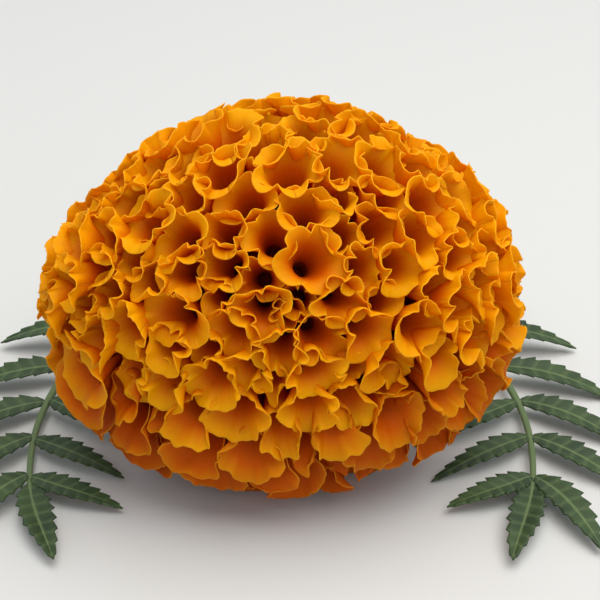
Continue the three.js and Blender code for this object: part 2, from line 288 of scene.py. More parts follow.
def thin_sheets(
    surface: np.ndarray, half: np.ndarray, uv: np.ndarray, traits: dict[str, np.ndarray]
) -> Shell:
    """Closed thin sheets round middle surfaces.

    Each sheet has an over face and an under face, the middle surface plus and minus its
    normal times half the thickness, and one band of faces round its margin. A normal is
    the lengthwise slope crossed with the crosswise one, scaled to length 1. Where the
    two side edges nearly meet, they share their normals.

    Args:
        surface: middle points of shape (sheets, rows, columns, 3).
        half: half of the thickness, broadcast to (sheets, rows, columns).
        uv: pattern places of shape (sheets, rows, columns, 2).
        traits: named numbers of shape (sheets, rows, columns).
    Returns:
        One shell that holds all the sheets.
    """
    seam_gap = 0.08
    sheets, rows, columns, _ = surface.shape
    grid = surface.shape[:3]
    normals = unit(np.cross(np.gradient(surface, axis=-3), np.gradient(surface, axis=-2)))
    apart = np.linalg.norm(surface[:, :, 0] - surface[:, :, -1], axis=-1, keepdims=True)
    shared = unit(normals[:, :, 0] + normals[:, :, -1])
    for side in (0, -1):
        normals[:, :, side] = np.where(apart < seam_gap, shared, normals[:, :, side])
    lift = normals * np.broadcast_to(half, grid)[..., None]
    points = np.stack([surface - lift, surface + lift], axis=1).reshape(-1, 3)
    layer = rows * columns
    number = np.arange(layer).reshape(rows, columns)
    a, b = number[:-1, :-1].ravel(), number[1:, :-1].ravel()
    c, d = number[1:, 1:].ravel(), number[:-1, 1:].ravel()
    under = np.stack([a, d, c, b], axis=1)
    over = np.stack([a, b, c, d], axis=1) + layer
    rim = np.concatenate([number[:, 0], number[-1, 1:], number[-2::-1, -1], number[0, -2::-1]])
    here, there = rim[:-1], rim[1:]
    band = np.stack([here, there, there + layer, here + layer], axis=1)
    faces = np.vstack([under, over, band])
    starts = (np.arange(sheets) * 2 * layer)[:, None, None]
    both = {
        name: np.stack([np.broadcast_to(value, grid)] * 2, axis=1).ravel()
        for name, value in traits.items()
    }
    both["over"] = np.broadcast_to([[[0.0], [1.0]]], (sheets, 2, layer)).ravel()
    places = np.stack([np.broadcast_to(uv, (*grid, 2))] * 2, axis=1).reshape(-1, 2)
    return Shell(points, (faces[None] + starts).reshape(-1, 4), places, both)


def closed_tube(rings: np.ndarray, uv: np.ndarray, traits: dict[str, np.ndarray]) -> Shell:
    """A closed mesh round rings of points, with a fan to a middle point at both ends.

    Args:
        rings: points of shape (rows, columns, 3), each ring once round.
        uv: pattern places of shape (rows, columns, 2).
        traits: named numbers of shape (rows, columns).
    Returns:
        The shell, its faces outwards where the rings turn rightwards along the line.
    """
    rows, columns, _ = rings.shape
    number = np.arange(rows * columns).reshape(rows, columns)
    turned = np.roll(number, -1, axis=1)
    walls = np.stack([number[:-1], turned[:-1], turned[1:], number[1:]], axis=-1).reshape(-1, 4)
    first, last = (np.full(columns, rows * columns + end) for end in (0, 1))
    start = np.stack([turned[0], number[0], first, first], axis=1)
    end = np.stack([number[-1], turned[-1], last, last], axis=1)
    points = np.vstack([rings.reshape(-1, 3), rings[0].mean(0), rings[-1].mean(0)])
    places = np.vstack([uv.reshape(-1, 2), uv[0].mean(0), uv[-1].mean(0)])
    numbers = {
        name: np.concatenate([value.ravel(), [value[0].mean(), value[-1].mean()]])
        for name, value in traits.items()
    }
    return Shell(points, np.vstack([walls, start, end]), places, numbers)


def dress(piece: bpy.types.Object, node: str) -> None:
    """Sets a piece on the one body, in place of its solid, and reports it.

    Args:
        piece: the finished object.
        node: the solid that it stands for.
    """
    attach(piece, "root")
    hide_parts(node)
    log.info("%s stands for %s, %d faces", piece.name, node, len(piece.data.polygons))


# Finishes

Colour = tuple[float, float, float, float]
Source = bpy.types.NodeSocket | float | tuple


class NodeSketch:
    """Places shader nodes in a node tree and joins them."""

    def __init__(self, tree: bpy.types.NodeTree) -> None:
        """Works on the given tree."""
        self.tree = tree

    def feed(self, socket: bpy.types.NodeSocket, source: Source) -> None:
        """Links a socket to another one, or sets its value.

        Args:
            socket: the input.
            source: an output socket or a plain value.
        """
        if isinstance(source, bpy.types.NodeSocket):
            self.tree.links.new(source, socket)
        else:
            socket.default_value = source

    def add(
        self, kind: str, inputs: dict[str | int, Source] | None = None, **settings: object
    ) -> bpy.types.Node:
        """Adds a node.

        Args:
            kind: the node's type name without its ShaderNode beginning.
            inputs: values or sockets for its inputs, by name or number.
            settings: the node's own settings.
        Returns:
            The node.
        """
        node = self.tree.nodes.new("ShaderNode" + kind)
        for name, value in settings.items():
            setattr(node, name, value)
        for name, source in (inputs or {}).items():
            self.feed(node.inputs[name], source)
        return node

    def trait(self, name: str) -> bpy.types.NodeSocket:
        """The number of that name on the piece's vertices."""
        return self.add("Attribute", attribute_name=name).outputs["Fac"]

    def math(self, operation: str, *values: Source, clamp: bool = False) -> bpy.types.NodeSocket:
        """The result of a Math node on sockets or numbers."""
        node = self.add("Math", dict(enumerate(values)), operation=operation, use_clamp=clamp)
        return node.outputs[0]

    def blend(self, share: Source, low: Source, high: Source) -> bpy.types.NodeSocket:
        """The colour between two: low at share 0, high at share 1."""
        node = self.add("Mix", {0: share, 6: low, 7: high}, data_type="RGBA")
        return node.outputs[2]

    def ramp(
        self, share: bpy.types.NodeSocket, stops: list[tuple[float, Colour]]
    ) -> bpy.types.NodeSocket:
        """The colour that a share picks out of a row of colours.

        Args:
            share: where in the row.
            stops: places from 0 to 1 with their colours.
        Returns:
            The colour socket.
        """
        node = self.add("ValToRGB", {"Fac": share})
        elements = node.color_ramp.elements
        while len(elements) < len(stops):
            elements.new(0.5)
        for element, (place, colour) in zip(elements, stops):
            element.position = place
            element.color = colour
        return node.outputs["Color"]

    def grain(self, cell_scale: float, patch_scale: float) -> bpy.types.NodeOutputs:
        """The living_grain group with its own scales.

        Args:
            cell_scale: how fine the cells are.
            patch_scale: how fast the patches change.
        Returns:
            The outputs Cells and Patches.
        """
        node = self.add("Group", node_tree=living_grain())
        self.feed(node.inputs["Cell Scale"], cell_scale)
        self.feed(node.inputs["Patch Scale"], patch_scale)
        return node.outputs

    def end_skin(
        self,
        colour: bpy.types.NodeSocket,
        roughness: Source,
        gloss: float,
        relief: bpy.types.Node,
        see_through: float,
    ) -> None:
        """Ends a plant material: its skin, and light through the blade if any passes.

        Args:
            colour: of the skin and of the light that passes.
            roughness: of the skin.
            gloss: its specular level.
            relief: the Bump node that turns the normal.
            see_through: share of light that passes.
        """
        normal = relief.outputs[0]
        skin = self.add(
            "BsdfPrincipled",
            {
                "Base Color": colour,
                "Roughness": roughness,
                "Specular IOR Level": gloss,
                "Normal": normal,
            },
        )
        surface = skin.outputs[0]
        if see_through > 0:
            through = self.add("BsdfTranslucent", {"Color": colour, "Normal": normal})
            both = self.add("MixShader", {0: see_through, 1: surface, 2: through.outputs[0]})
            surface = both.outputs[0]
        self.add("OutputMaterial", {"Surface": surface})


def paint(red: int, green: int, blue: int) -> Colour:
    """A colour as it shows on a screen turned to linear light: each share plus 0.055,
    over 1.055, to the power 2.4, or a twelfth of it near black.

    Args:
        red, green, blue: from 0 to 255.
    Returns:
        The colour with a full alpha.
    """
    shares = [channel / 255 for channel in (red, green, blue)]
    light = [((s + 0.055) / 1.055) ** 2.4 if s > 0.04045 else s / 12.92 for s in shares]
    return (*light, 1.0)


def living_grain() -> bpy.types.NodeTree:
    """A shader group for plant skin, made once: fine cells and slow patches in Object
    coordinates.

    Returns:
        The group, with inputs Cell Scale and Patch Scale and outputs Cells and Patches.
    """
    name = "living_grain"
    if name in bpy.data.node_groups:
        return bpy.data.node_groups[name]
    tree = bpy.data.node_groups.new(name, "ShaderNodeTree")
    for label in ("Cell Scale", "Patch Scale"):
        tree.interface.new_socket(name=label, in_out="INPUT", socket_type="NodeSocketFloat")
    for label in ("Cells", "Patches"):
        tree.interface.new_socket(name=label, in_out="OUTPUT", socket_type="NodeSocketFloat")
    sketch = NodeSketch(tree)
    given = tree.nodes.new("NodeGroupInput")
    put_out = tree.nodes.new("NodeGroupOutput")
    place = sketch.add("TexCoord").outputs["Object"]
    for scale, detail, label in (("Cell Scale", 2.0, "Cells"), ("Patch Scale", 3.0, "Patches")):
        noise = sketch.add(
            "TexNoise", {"Vector": place, "Scale": given.outputs[scale], "Detail": detail}
        )
        sketch.feed(put_out.inputs[label], noise.outputs[0])
    return tree


def new_material(name: str) -> tuple[bpy.types.Material, NodeSketch]:
    """An empty node material.

    Args:
        name: the material's name.
    Returns:
        The material and a sketch of its nodes.
    """
    material = bpy.data.materials.new(name)
    material.use_nodes = True
    material.node_tree.nodes.clear()
    return material, NodeSketch(material.node_tree)


@dataclass(frozen=True)
class PetalFinish:
    """Golden petals: dark red-brown down in the tube and throat, which is painted shade,
    orange at the waist and golden yellow towards the rim, partly the petals' own colour
    and partly painted shade, and a thin pale painted highlight along the rim, with fine
    pleats that run from the throat to the rim and a little light through the blade.

    Attributes:
        deep, throat, waist, gold, rim: colours from the root to the rim; deep and throat are
        painted shade in the tube and throat, and rim is a painted highlight along the margin.
        redder, low_face_shade: what some florets are tinted with, and the painted shade,
        darker and redder, of those low on the face.
        tint: how strong either tint is in a petal that has it in full.
        roughness, gloss: of the satin skin.
        see_through: share of light that passes the blade.
        pleats: number of fine pleats across a petal.
        cell_scale, patch_scale: how fine the skin's cells and patches are.
    """

    # Painted shade: deep and throat fill the tubes and throats, dark where only shade falls.
    deep: Colour = paint(136, 28, 2)
    throat: Colour = paint(208, 70, 0)
    waist: Colour = paint(236, 114, 0)
    gold: Colour = paint(255, 194, 0)
    # Painted highlight along the rims.
    rim: Colour = paint(255, 206, 50)
    redder: Colour = paint(236, 112, 0)
    # Painted shade for the florets low on the face.
    low_face_shade: Colour = paint(196, 84, 0)
    tint: float = 0.55
    roughness: float = 0.55
    gloss: float = 0.12
    see_through: float = 0.42
    pleats: float = 46.0
    cell_scale: float = 2600.0
    patch_scale: float = 90.0

    def material(self) -> bpy.types.Material:
        """Builds the node material.

        The place in the row of colours is how far along the petal it is, a little
        further for florets away from the crown, less far for those low on the face as
        painted shade, and it drifts with the patches. The darkest stops paint shade into
        the tubes and throats, florets low on the face are tinted darker and redder as
        more painted shade, and the rim trait adds a painted highlight.

        Returns:
            The material.
        """
        material, sketch = new_material("petal_gold")
        place = sketch.add("SeparateXYZ", {0: sketch.add("UVMap", uv_map="UVMap").outputs[0]})
        across, along = place.outputs[0], place.outputs[1]
        inner = sketch.add("MapRange", {0: sketch.trait("age"), 1: 0.12, 2: 0.26}).outputs[0]
        # Painted shade: how far a floret sits low on the face, where it is darkened.
        low = sketch.trait("deep")
        grain = sketch.grain(self.cell_scale, self.patch_scale)
        patchy = sketch.math("SUBTRACT", grain["Patches"], 0.5)
        climb = sketch.math("MULTIPLY_ADD", along, 2.0, -1.0)
        climb = sketch.math("ADD", climb, sketch.math("MULTIPLY", patchy, 0.16))
        lifted = sketch.math("MULTIPLY_ADD", inner, 0.12, climb)
        # Painted shade: florets low on the face slide down to the darker colours.
        lifted = sketch.math("MULTIPLY_ADD", low, -0.4, lifted)
        # Painted shade: the darkest stops fill the tubes and throats.
        stops = [(0.0, self.deep), (0.1, self.throat), (0.6, self.waist), (0.96, self.gold)]
        body = sketch.ramp(lifted, [*stops, (1.0, self.gold)])
        redder = sketch.blend(self.tint, body, self.redder)
        # Painted shade: darker and redder for florets low on the face.
        low_face_shade = sketch.blend(self.tint, body, self.low_face_shade)
        toned = sketch.blend(sketch.math("MULTIPLY", sketch.trait("tone"), 0.45), body, redder)
        # Painted shade blended in by how low on the face a floret sits.
        low_face_shaded = sketch.blend(sketch.math("MULTIPLY", low, 0.8), toned, low_face_shade)
        # Painted highlight along the rims.
        rim_highlight = sketch.math("MULTIPLY", sketch.trait("rim"), 0.4)
        colour = sketch.blend(rim_highlight, low_face_shaded, self.rim)
        wave = sketch.math("SINE", sketch.math("MULTIPLY", across, self.pleats * FULL_TURN))
        pleat = sketch.math("MULTIPLY", sketch.math("MULTIPLY", wave, along), 0.5)
        height = sketch.math("ADD", pleat, sketch.math("MULTIPLY", grain["Cells"], 0.8))
        relief = sketch.add("Bump", {"Strength": 0.12, "Distance": 0.0002, "Height": height})
        sketch.end_skin(colour, self.roughness, self.gloss, relief, self.see_through)
        return material


@dataclass(frozen=True)
class GreenFinish:
    """Green plant skin: slow patches of two greens, paler ribs, fine cells in relief.

    Attributes:
        name: the material's name.
        dark, light, rib: its colours.
        roughness, gloss: of the skin.
        see_through: share of light that passes it, for leaves.
        cell_scale, patch_scale: how fine the cells are and how fast the greens change.
    """

    name: str
    dark: Colour
    light: Colour
    rib: Colour
    roughness: float = 0.5
    gloss: float = 0.35
    see_through: float = 0.0
    cell_scale: float = 1500.0
    patch_scale: float = 120.0

    def material(self) -> bpy.types.Material:
        """Builds the node material.

        Returns:
            The material.
        """
        material, sketch = new_material(self.name)
        grain = sketch.grain(self.cell_scale, self.patch_scale)
        patch = sketch.math("MULTIPLY_ADD", grain["Patches"], 2.6, -0.8, clamp=True)
        rib = sketch.trait("rib")
        colour = sketch.blend(rib, sketch.blend(patch, self.dark, self.light), self.rib)
        height = sketch.math("MULTIPLY_ADD", rib, 0.6, grain["Cells"])
        relief = sketch.add("Bump", {"Strength": 0.35, "Distance": 0.00025, "Height": height})
        rough = sketch.math("MULTIPLY_ADD", grain["Patches"], 0.14, self.roughness - 0.07)
        sketch.end_skin(colour, rough, self.gloss, relief, self.see_through)
        return material


@dataclass(frozen=True)
class FloorFinish:
    """Plain pale matt floor.

    Attributes:
        colour: its colour.
        roughness: of its surface.
    """

    colour: Colour = (0.62, 0.62, 0.6, 1.0)
    roughness: float = 0.9

    def material(self) -> bpy.types.Material:
        """Builds the node material.

        Returns:
            The material.
        """
        material, sketch = new_material("pale_floor")
        inputs = {"Base Color": self.colour, "Roughness": self.roughness}
        skin = sketch.add("BsdfPrincipled", inputs)
        sketch.add("OutputMaterial", {"Surface": skin.outputs[0]})
        return material


# The head's own axes


@dataclass(frozen=True)
class HeadAxes:
    """The head's own frame: x across, y up its face, z out of its crown.

    Attributes:
        centre: the middle of the head in the part's frame.
        tilt: how far its face looks upwards, in degrees.
    """

    centre: tuple[float, float, float] = (0.0, -36.8, 33.0)
    tilt: float = 24.0

    def to_part(self, points: np.ndarray) -> np.ndarray:
        """Places in the head's frame turned about x by a quarter less the tilt, and moved
        to the head's place in the part's frame.

        Args:
            points: places in the head's frame.
        Returns:
            Places in the part's frame.
        """
        turn = math.radians(90.0 - self.tilt)
        x, y, z = np.moveaxis(points, -1, 0)
        back = y * math.cos(turn) - z * math.sin(turn)
        up = y * math.sin(turn) + z * math.cos(turn)
        return np.stack([x, back, up], axis=-1) + np.array(self.centre)


# The bloom


@dataclass
class Seats:
    """How each floret sits and grows: one entry, or one vector, for each floret.

    Attributes:
        number: counts the florets from the crown downwards.
        throat: the middle of the floret's mouth.
        axis, outward, side: its own directions: out along the tube, away from the
            crown, and square to both.
        flow, strength, hang: the way in which it hangs, how firmly, and the angle of
            that way round its axis.
        age: how far from the crown it sits, from 0 to 1.
        low: how far down the face it sits, from -1 at the top to 1.
        rank: how high it stands among its neighbours, from 0 to 1.
        upper: 1 for florets above the crown, 0 for those beside and below it.
        tube, tube_depth: the tube's radius and how deep it goes.
        taper: how much narrower its root is.
        start: the lip's slope off the axis at the throat, in radians.
        front_lip, back_lip: the lip's length on the side to which it hangs, and behind.
        front_flare, back_flare: its slope at the rim on those sides, in radians.
        wrap: half of the angle that the lip goes round the axis, in radians.
    """

    number: np.ndarray
    throat: np.ndarray
    axis: np.ndarray
    outward: np.ndarray
    side: np.ndarray
    flow: np.ndarray
    strength: np.ndarray
    hang: np.ndarray
    age: np.ndarray
    low: np.ndarray
    rank: np.ndarray
    upper: np.ndarray
    tube: np.ndarray
    tube_depth: np.ndarray
    taper: np.ndarray
    start: np.ndarray
    front_lip: np.ndarray
    back_lip: np.ndarray
    front_flare: np.ndarray
    back_flare: np.ndarray
    wrap: np.ndarray

    def spread(self) -> "Seats":
        """The same traits with axes for a floret's rows and columns."""
        names = [field.name for field in fields(self)]
        return Seats(**{name: getattr(self, name)[:, None, None] for name in names})


@dataclass
class Meetings:
    """How each floret, by row, meets each other one, by column.

    Attributes:
        top: one point over each floret's throat, at the height of the rims.
        direction: the unit direction from one top to the other.
        distance: how far apart the tops are.
        toward: the angle of that direction round the floret's axis.
        share: the floret's share of the way between the tops.
        lean: how far the wall between the two leans over the other, in radians.
    """

    top: np.ndarray
    direction: np.ndarray
    distance: np.ndarray
    toward: np.ndarray
    share: np.ndarray
    lean: np.ndarray


@dataclass
class Ruffles:
    """How the rims are ruffled, by floret and column.

    Attributes:
        phase: four draws of a full turn for each floret.
        crest: near 1 on the rounded folds, near 0 between them.
        pinch: 1 in the narrow pinches between the folds.
        calm: 1 for lively rims, less for the plainer ones low on the face.
        deep: how far the pinches are drawn in.
    """

    phase: list[np.ndarray]
    crest: np.ndarray
    pinch: np.ndarray
    calm: np.ndarray
    deep: np.ndarray


@dataclass
class Bloom:
    """The dome of florets over a small receptacle, all in the head's frame.

    Attributes:
        axes: where the head is.
        half_width, half_height, dome, underside: how far the head reaches.
        floret_count: florets that follow the golden angle from the crown downwards.
        last_angle: how far from the crown the last floret sits, in degrees.
        crowding: the power that spreads the florets evenly over the dome.
        throat_depth: how deep the throats lie under the head's outline, at the crown
            and on the sides.
        rows: where the rows of one floret lie: -1 is the tube's root, 0 the throat and
            1 the rim.
        columns: grid columns of one floret.
        lip_steps: steps in which a lip is grown from the throat to the rim.
        half_thickness: half of a petal's thickness.
        sizes: the smallest and the largest floret, as shares.
        rank_lift: how much higher the highest ranking florets sit than the lowest.
        uneven, stray: how far a throat may lie from its place on the spiral, along its
            tube and sideways.
        nod: how far a floret may lean, away from the crown and sideways, as a slope.
        twist: how far it may be turned round its own axis, in radians.
        tube, tube_depth, taper, start: the tube's radius, its depth, how much narrower
            its root is and its slope at the throat in degrees, at the crown and outside.
        lips: a lip's plain length in front and behind.
        wrap: half of the angle that a lip goes round, in degrees, as a rule and for the
            outermost florets low on the face.
        folds: between which numbers a rim's folds are drawn, and then rounded down.
        rim_height: how far over the throats the walls between neighbours are measured.
        most_lean: the most that such a wall leans, in degrees, above and below.
        rank_share, flow_share: how much of the lean follows the florets' ranks and the
            way in which they hang.
        wish: what a floret claims of the way to a neighbour: the plain claim, and what
            hanging towards it and ranking over it add.
        neighbour_reach: how far off a neighbour still limits a rim.
        overhang: how much further a rim reaches over a neighbour under it.
        press_count, press_reach: how many of the nearest neighbours may press a floret,
            and how far off.
        press_width: over what distance a petal bends before the wall between neighbours.
        least_yield: how much of the way back to its wall a rim gives, away from the
            middle of the lower face.
        retreat: how far a rim low on the face also draws back to its throat, for each
            millimetre that it is pressed.
        wall_wave, wall_length: height, near the crown and on the sides, and length of
            that wall's waves.
        core_depth: how deep the receptacle lies under the head's outline.
        core_ribs: ribs on the receptacle's underside.
        core_rings, core_columns: the receptacle's grid.
        egg_margin: how far the egg that holds the rims lies outside that outline.
        slack: how far the upper left shoulder is pulled in and the lower left let out.
        florets_in_piece: florets that share one mesh.
    """

    axes: HeadAxes
    half_width: float = 41.0
    half_height: float = 32.0
    dome: float = 27.6
    underside: float = 20.0
    floret_count: int = 205
    last_angle: float = 120.0
    crowding: float = 0.62
    throat_depth: tuple[float, float] = (7.6, 7.8)
    rows: tuple[float, ...] = (-1, -0.35, 0.06, 0.24, 0.4, 0.54, 0.66, 0.77, 0.86, 0.93, 0.975, 1)
    columns: int = 85
    lip_steps: int = 48
    half_thickness: float = 0.1
    sizes: tuple[float, float] = (0.92, 1.08)
    rank_lift: float = 1.2
    uneven: float = 0.5
    stray: float = 0.8
    nod: tuple[float, float] = (0.12, 0.16)
    twist: float = 0.3
    tube: tuple[float, float] = (1.2, 1.9)
    tube_depth: tuple[float, float] = (4.4, 3.2)
    taper: tuple[float, float] = (0.25, 0.8)
    start: tuple[float, float] = (9.0, 12.0)
    lips: tuple[float, float] = (8.8, 9.3)
    wrap: tuple[float, float] = (179.85, 115.0)
    folds: tuple[float, float] = (3.0, 5.999)
    rim_height: float = 6.2
    most_lean: tuple[float, float] = (36.0, 60.0)
    rank_share: float = 2.6
    flow_share: float = 1.1
    wish: tuple[float, float, float] = (0.5, 0.1, 0.06)
    neighbour_reach: float = 24.0
    overhang: float = 2.4
    press_count: int = 12
    press_reach: float = 19.0
    press_width: float = 0.3
    least_yield: float = 0.45
    retreat: float = 0.45
    wall_wave: tuple[float, float] = (0.9, 0.5)
    wall_length: float = 6.4
    core_depth: float = 9.8
    core_ribs: int = 60
    core_rings: int = 40
    core_columns: int = 240
    egg_margin: float = 4.0
    slack: tuple[float, float] = (2.8, 0.7)
    florets_in_piece: int = 41

    def seats(self) -> Seats:
        """Where each floret sits, which way it faces and how it grows.

        The fall from the crown is twice the arc sine of half the last angle's sine times
        a share, ((i + 0.5) / count) to the power crowding; the bearing turns by the
        golden angle from one floret to the next. The florets hang towards the bottom of
        the face, and the lowest ones outwards as well.

        Returns:
            The traits of all florets.
        """
        i = np.arange(self.floret_count)
        last = math.radians(self.last_angle)
        share = ((i + 0.5) / self.floret_count) ** self.crowding
        fall = 2 * np.arcsin(math.sin(last / 2) * share)
        bearing = i * GOLDEN_ANGLE
        level = np.stack([np.cos(bearing), np.sin(bearing), np.zeros_like(bearing)], axis=1)
        axis = level * np.sin(fall)[:, None] + Z * np.cos(fall)[:, None]
        outward = level * np.cos(fall)[:, None] - Z * np.sin(fall)[:, None]
        sideways = np.cross(axis, outward)
        reach = np.stack(
            [
                np.full_like(fall, self.half_width),
                np.full_like(fall, self.half_height),
                np.where(axis[:, 2] > 0, self.dome, self.underside),
            ],
            axis=1,
        )

        # Zones of the head: away from the crown, and up and down the face.
        age = fall / last
        low = -level[:, 1] * np.sin(np.minimum(fall, math.pi / 2))
        out = smooth(0.05, 0.4, age)
        south, north = out * np.clip(low, 0, 1), out * np.clip(-low, 0, 1)
        upper = smooth(0.04, -0.2, low)
        crown = smooth(0.2, 0.05, age)
        outer = smooth(0.14, 0.26, age)
        rank = 0.25 * (i % 3) + 0.5 * draw(i, 17)
        size = mix(*self.sizes, draw(i, 2))

        # The throat, a little astray from its place on the spiral.
        uneven = mix(-self.uneven, self.uneven, draw(i, 12))
        depth = mix(*self.throat_depth, out) + uneven - self.rank_lift * (rank - 0.5)
        stray = mix(-self.stray, self.stray, np.stack([draw(i, 15), draw(i, 16)]))[..., None]
        throat = axis * (reach - depth[:, None]) + stray[0] * outward + stray[1] * sideways

        # The tube's own directions, which nod and turn by a few degrees.
        away, aside = self.nod
        spread = mix(0.0, 0.14, smooth(0.05, 0.2, age)) * smooth(0.6, 0.3, age)
        nod = (spread + mix(-away, away, draw(i, 13)))[:, None] * outward
        nod = nod + mix(-aside, aside, draw(i, 14))[:, None] * sideways
        leaning = unit(axis + nod)
        twist = mix(-self.twist, self.twist, draw(i, 11))[:, None]
        front = unit(square_to(leaning, outward))
        front = front * np.cos(twist) + np.cross(leaning, front) * np.sin(twist)
        side = np.cross(leaning, front)

        # The way in which it hangs.
        pull = mix(0.2, 1.2, smooth(-0.2, 0.7, low)) + smooth(0.5, 0.9, age)
        flow = square_to(leaning, pull[:, None] * front - Y)
        strength = np.linalg.norm(flow, axis=1)
        flow = flow / np.maximum(strength, 1.0)[:, None]

        front_lip = self.lips[0] - 0.4 * crown + 1.2 * out + 4.2 * south - 1.0 * upper
        back_lip = self.lips[1] - 0.2 * crown + 0.6 * out - 5.8 * south + 1.5 * north
        ranked = 0.6 * (rank - 0.5)
        opening = smooth(-0.1, 0.4, low) * smooth(0.4, 0.85, age)
        return Seats(
            number=i.astype(float),
            throat=throat,
            axis=leaning,
            outward=front,
            side=side,
            flow=flow,
            strength=np.minimum(strength, 1.0),
            hang=np.arctan2(np.sum(flow * side, axis=1), np.sum(flow * front, axis=1)),
            age=age,
            low=low,
            rank=rank,
            upper=upper,
            tube=mix(*self.tube, smooth(0.0, 0.5, age)),
            tube_depth=mix(*self.tube_depth, outer),
            taper=mix(*self.taper, outer),
            start=np.radians(mix(*self.start, out)),
            front_lip=(front_lip + ranked) * size + mix(0.0, 2.4, smooth(0.5, 0.95, age)),
            back_lip=(back_lip + ranked) * size,
            front_flare=np.radians(mix(72.0 + 20.0 * out + 12.0 * south, 42.0, upper)),
            back_flare=np.radians(52.0 + 4.0 * out - 10.0 * south + 6.0 * north),
            wrap=np.radians(mix(*self.wrap, opening)),
        )

    def meetings(self, seats: Seats) -> Meetings:
        """How each floret meets each other one.

        The way between two tops is shared by the florets' wishes, which are larger on
        the side to which a floret hangs and for a floret that ranks higher. The wall
        between them leans over the one that ranks lower or lies further down the flow,
        by the most lean times the hyperbolic tangent of the rank share times the
        difference in rank plus the flow share times the flow towards it.

        Args:
            seats: the florets' traits.
        Returns:
            The meetings of all pairs.
        """
        top = seats.throat + seats.axis * self.rim_height
        gap = top[None] - top[:, None]
        distance = np.linalg.norm(gap, axis=2)
        direction = gap / np.maximum(distance, 1e-6)[..., None]
        outwards = np.einsum("ijk,ik->ij", gap, seats.outward)
        sidewards = np.einsum("ijk,ik->ij", gap, seats.side)
        down = np.sum((seats.flow[None] + seats.flow[:, None]) / 2 * direction, axis=2)
        higher = seats.rank[:, None] - seats.rank[None]
        middle = (seats.low[:, None] + seats.low[None]) / 2
        most = np.radians(mix(*self.most_lean, smooth(0.0, 0.4, middle)))
        plain, hanging, ranking = self.wish
        wish = plain + hanging * down + ranking * higher
        return Meetings(
            top=top,
            direction=direction,
            distance=distance,
            toward=np.arctan2(sidewards, outwards),
            share=wish / (wish + wish.T),
            lean=most * np.tanh(self.rank_share * higher + self.flow_share * down),
        )

    def room(self, meetings: Meetings, turn: np.ndarray) -> np.ndarray:
        """How far each floret's rim may reach before it meets its neighbours' rims.

        Each neighbour allows its share of the way, and more by the overhang times the
        sine of the wall's lean, over the cosine of the angle to it; the room is the
        smallest of these, smoothed as the -1/5 power of the sum of their -5 powers.

        Args:
            meetings: how the florets meet.
            turn: angles round the axis, of shape (florets, columns).
        Returns:
            Radii of the same shape.
        """
        near = (meetings.distance < self.neighbour_reach) & (meetings.distance > 1e-3)
        allowed = meetings.share * meetings.distance + self.overhang * np.sin(meetings.lean)
        closeness = np.where(near, 1 / np.maximum(allowed, 1.5), 0.0)
        facing = np.clip(np.cos(turn[:, None, :] - meetings.toward[:, :, None]), 0, None)
        total = ((facing * closeness[..., None]) ** 5).sum(1)
        return np.maximum(total, 1e-12) ** (-1 / 5)

    @staticmethod
    def rim_radius(tube: Number, lip: Number, start: Number, flare: Number) -> Number:
        """Radius of a rim whose slope off the axis grows evenly from the throat: the
        tube's radius plus lip (cos start - cos flare) / (flare - start)."""
        return tube + lip * (np.cos(start) - np.cos(flare)) / (flare - start)

    def squeezed_flare(
        self, tube: Number, lip: Number, start: Number, flare: Number, room: Number
    ) -> np.ndarray:
        """The largest flare, up to the free one, whose rim stays in its room, found by
        halving the range 24 times.

        Args:
            tube, lip, start, flare: the free lip.
            room: the largest radius of the rim.
        Returns:
            The flare of the squeezed lip.
        """
        low, high = start + 0.02 + np.zeros_like(flare), flare + np.zeros_like(room)
        for _ in range(24):
            middle = (low + high) / 2
            fits = self.rim_radius(tube, lip, start, middle) < room
            low, high = np.where(fits, middle, low), np.where(fits, high, middle)
        return low

    def ruffles(self, seat: Seats, turn: np.ndarray, front: np.ndarray) -> Ruffles:
        """Folds round the rims, a few on each floret.

        The wave's angle is half the number of folds times the turn, which a sine warps.
        A crest is the root of the wave's square plus a little, which rounds the folds,
        and a pinch is a narrow bell round each of the wave's zeros between them.

        Args:
            seat: the florets' traits, spread over rows and columns.
            turn: angles round the axis.
            front: 1 on the side to which a floret hangs, 0 behind.
        Returns:
            The folds.
        """
        phase = [FULL_TURN * draw(seat.number, trait) for trait in (3, 4, 5, 6)]
        folds = np.floor(mix(*self.folds, draw(seat.number, 8)))
        wave = np.sin(0.5 * folds * (turn + 0.35 * np.sin(turn + phase[2])) + phase[0])
        calm = mix(1.0, 0.3, smooth(0.2, 0.5, seat.low))
        return Ruffles(
            phase=phase,
            crest=np.sqrt(wave**2 + 0.012),
            pinch=np.exp(-((wave / 0.34) ** 2)),
            calm=calm,
            deep=smooth(-0.4, 1.0, np.sin(turn + phase[3])) * mix(0.35, 1.0, front) * calm,
        )

    def margin(
        self, seat: Seats, across: np.ndarray, turn: np.ndarray, ruffles: Ruffles
    ) -> np.ndarray:
        """The lip's length round the rim as a share of its full length.

        It is notched at the pinches, swings with twice the turn and is finely scalloped.
        Where the lip doesn't go all the way round, its two corners are rounded off by
        the square of how far they lie beyond 0.64 of the half width.

        Args:
            seat: the florets' traits, spread over rows and columns.
            across: places across the lip, from -1 to 1.
            turn: angles round the axis.
            ruffles: the folds.
        Returns:
            The share, near 1.
        """
        phase = ruffles.phase
        corner = np.clip(np.abs(across) / 0.36 - 0.64 / 0.36, 0, 1)
        rounded = 1 - 0.5 * smooth(3.1, 2.9, seat.wrap) * corner**2
        scallop = 0.010 * np.sin(19.0 * turn + phase[1]) + 0.012 * np.sin(11.0 * turn + phase[3])
        notch = (0.02 + 0.07 * ruffles.deep) * ruffles.pinch
        swing = 0.04 * np.sin(2 * turn + phase[2])
        return rounded * (1 - notch + swing) + scallop * mix(1.8, 1.0, ruffles.calm)

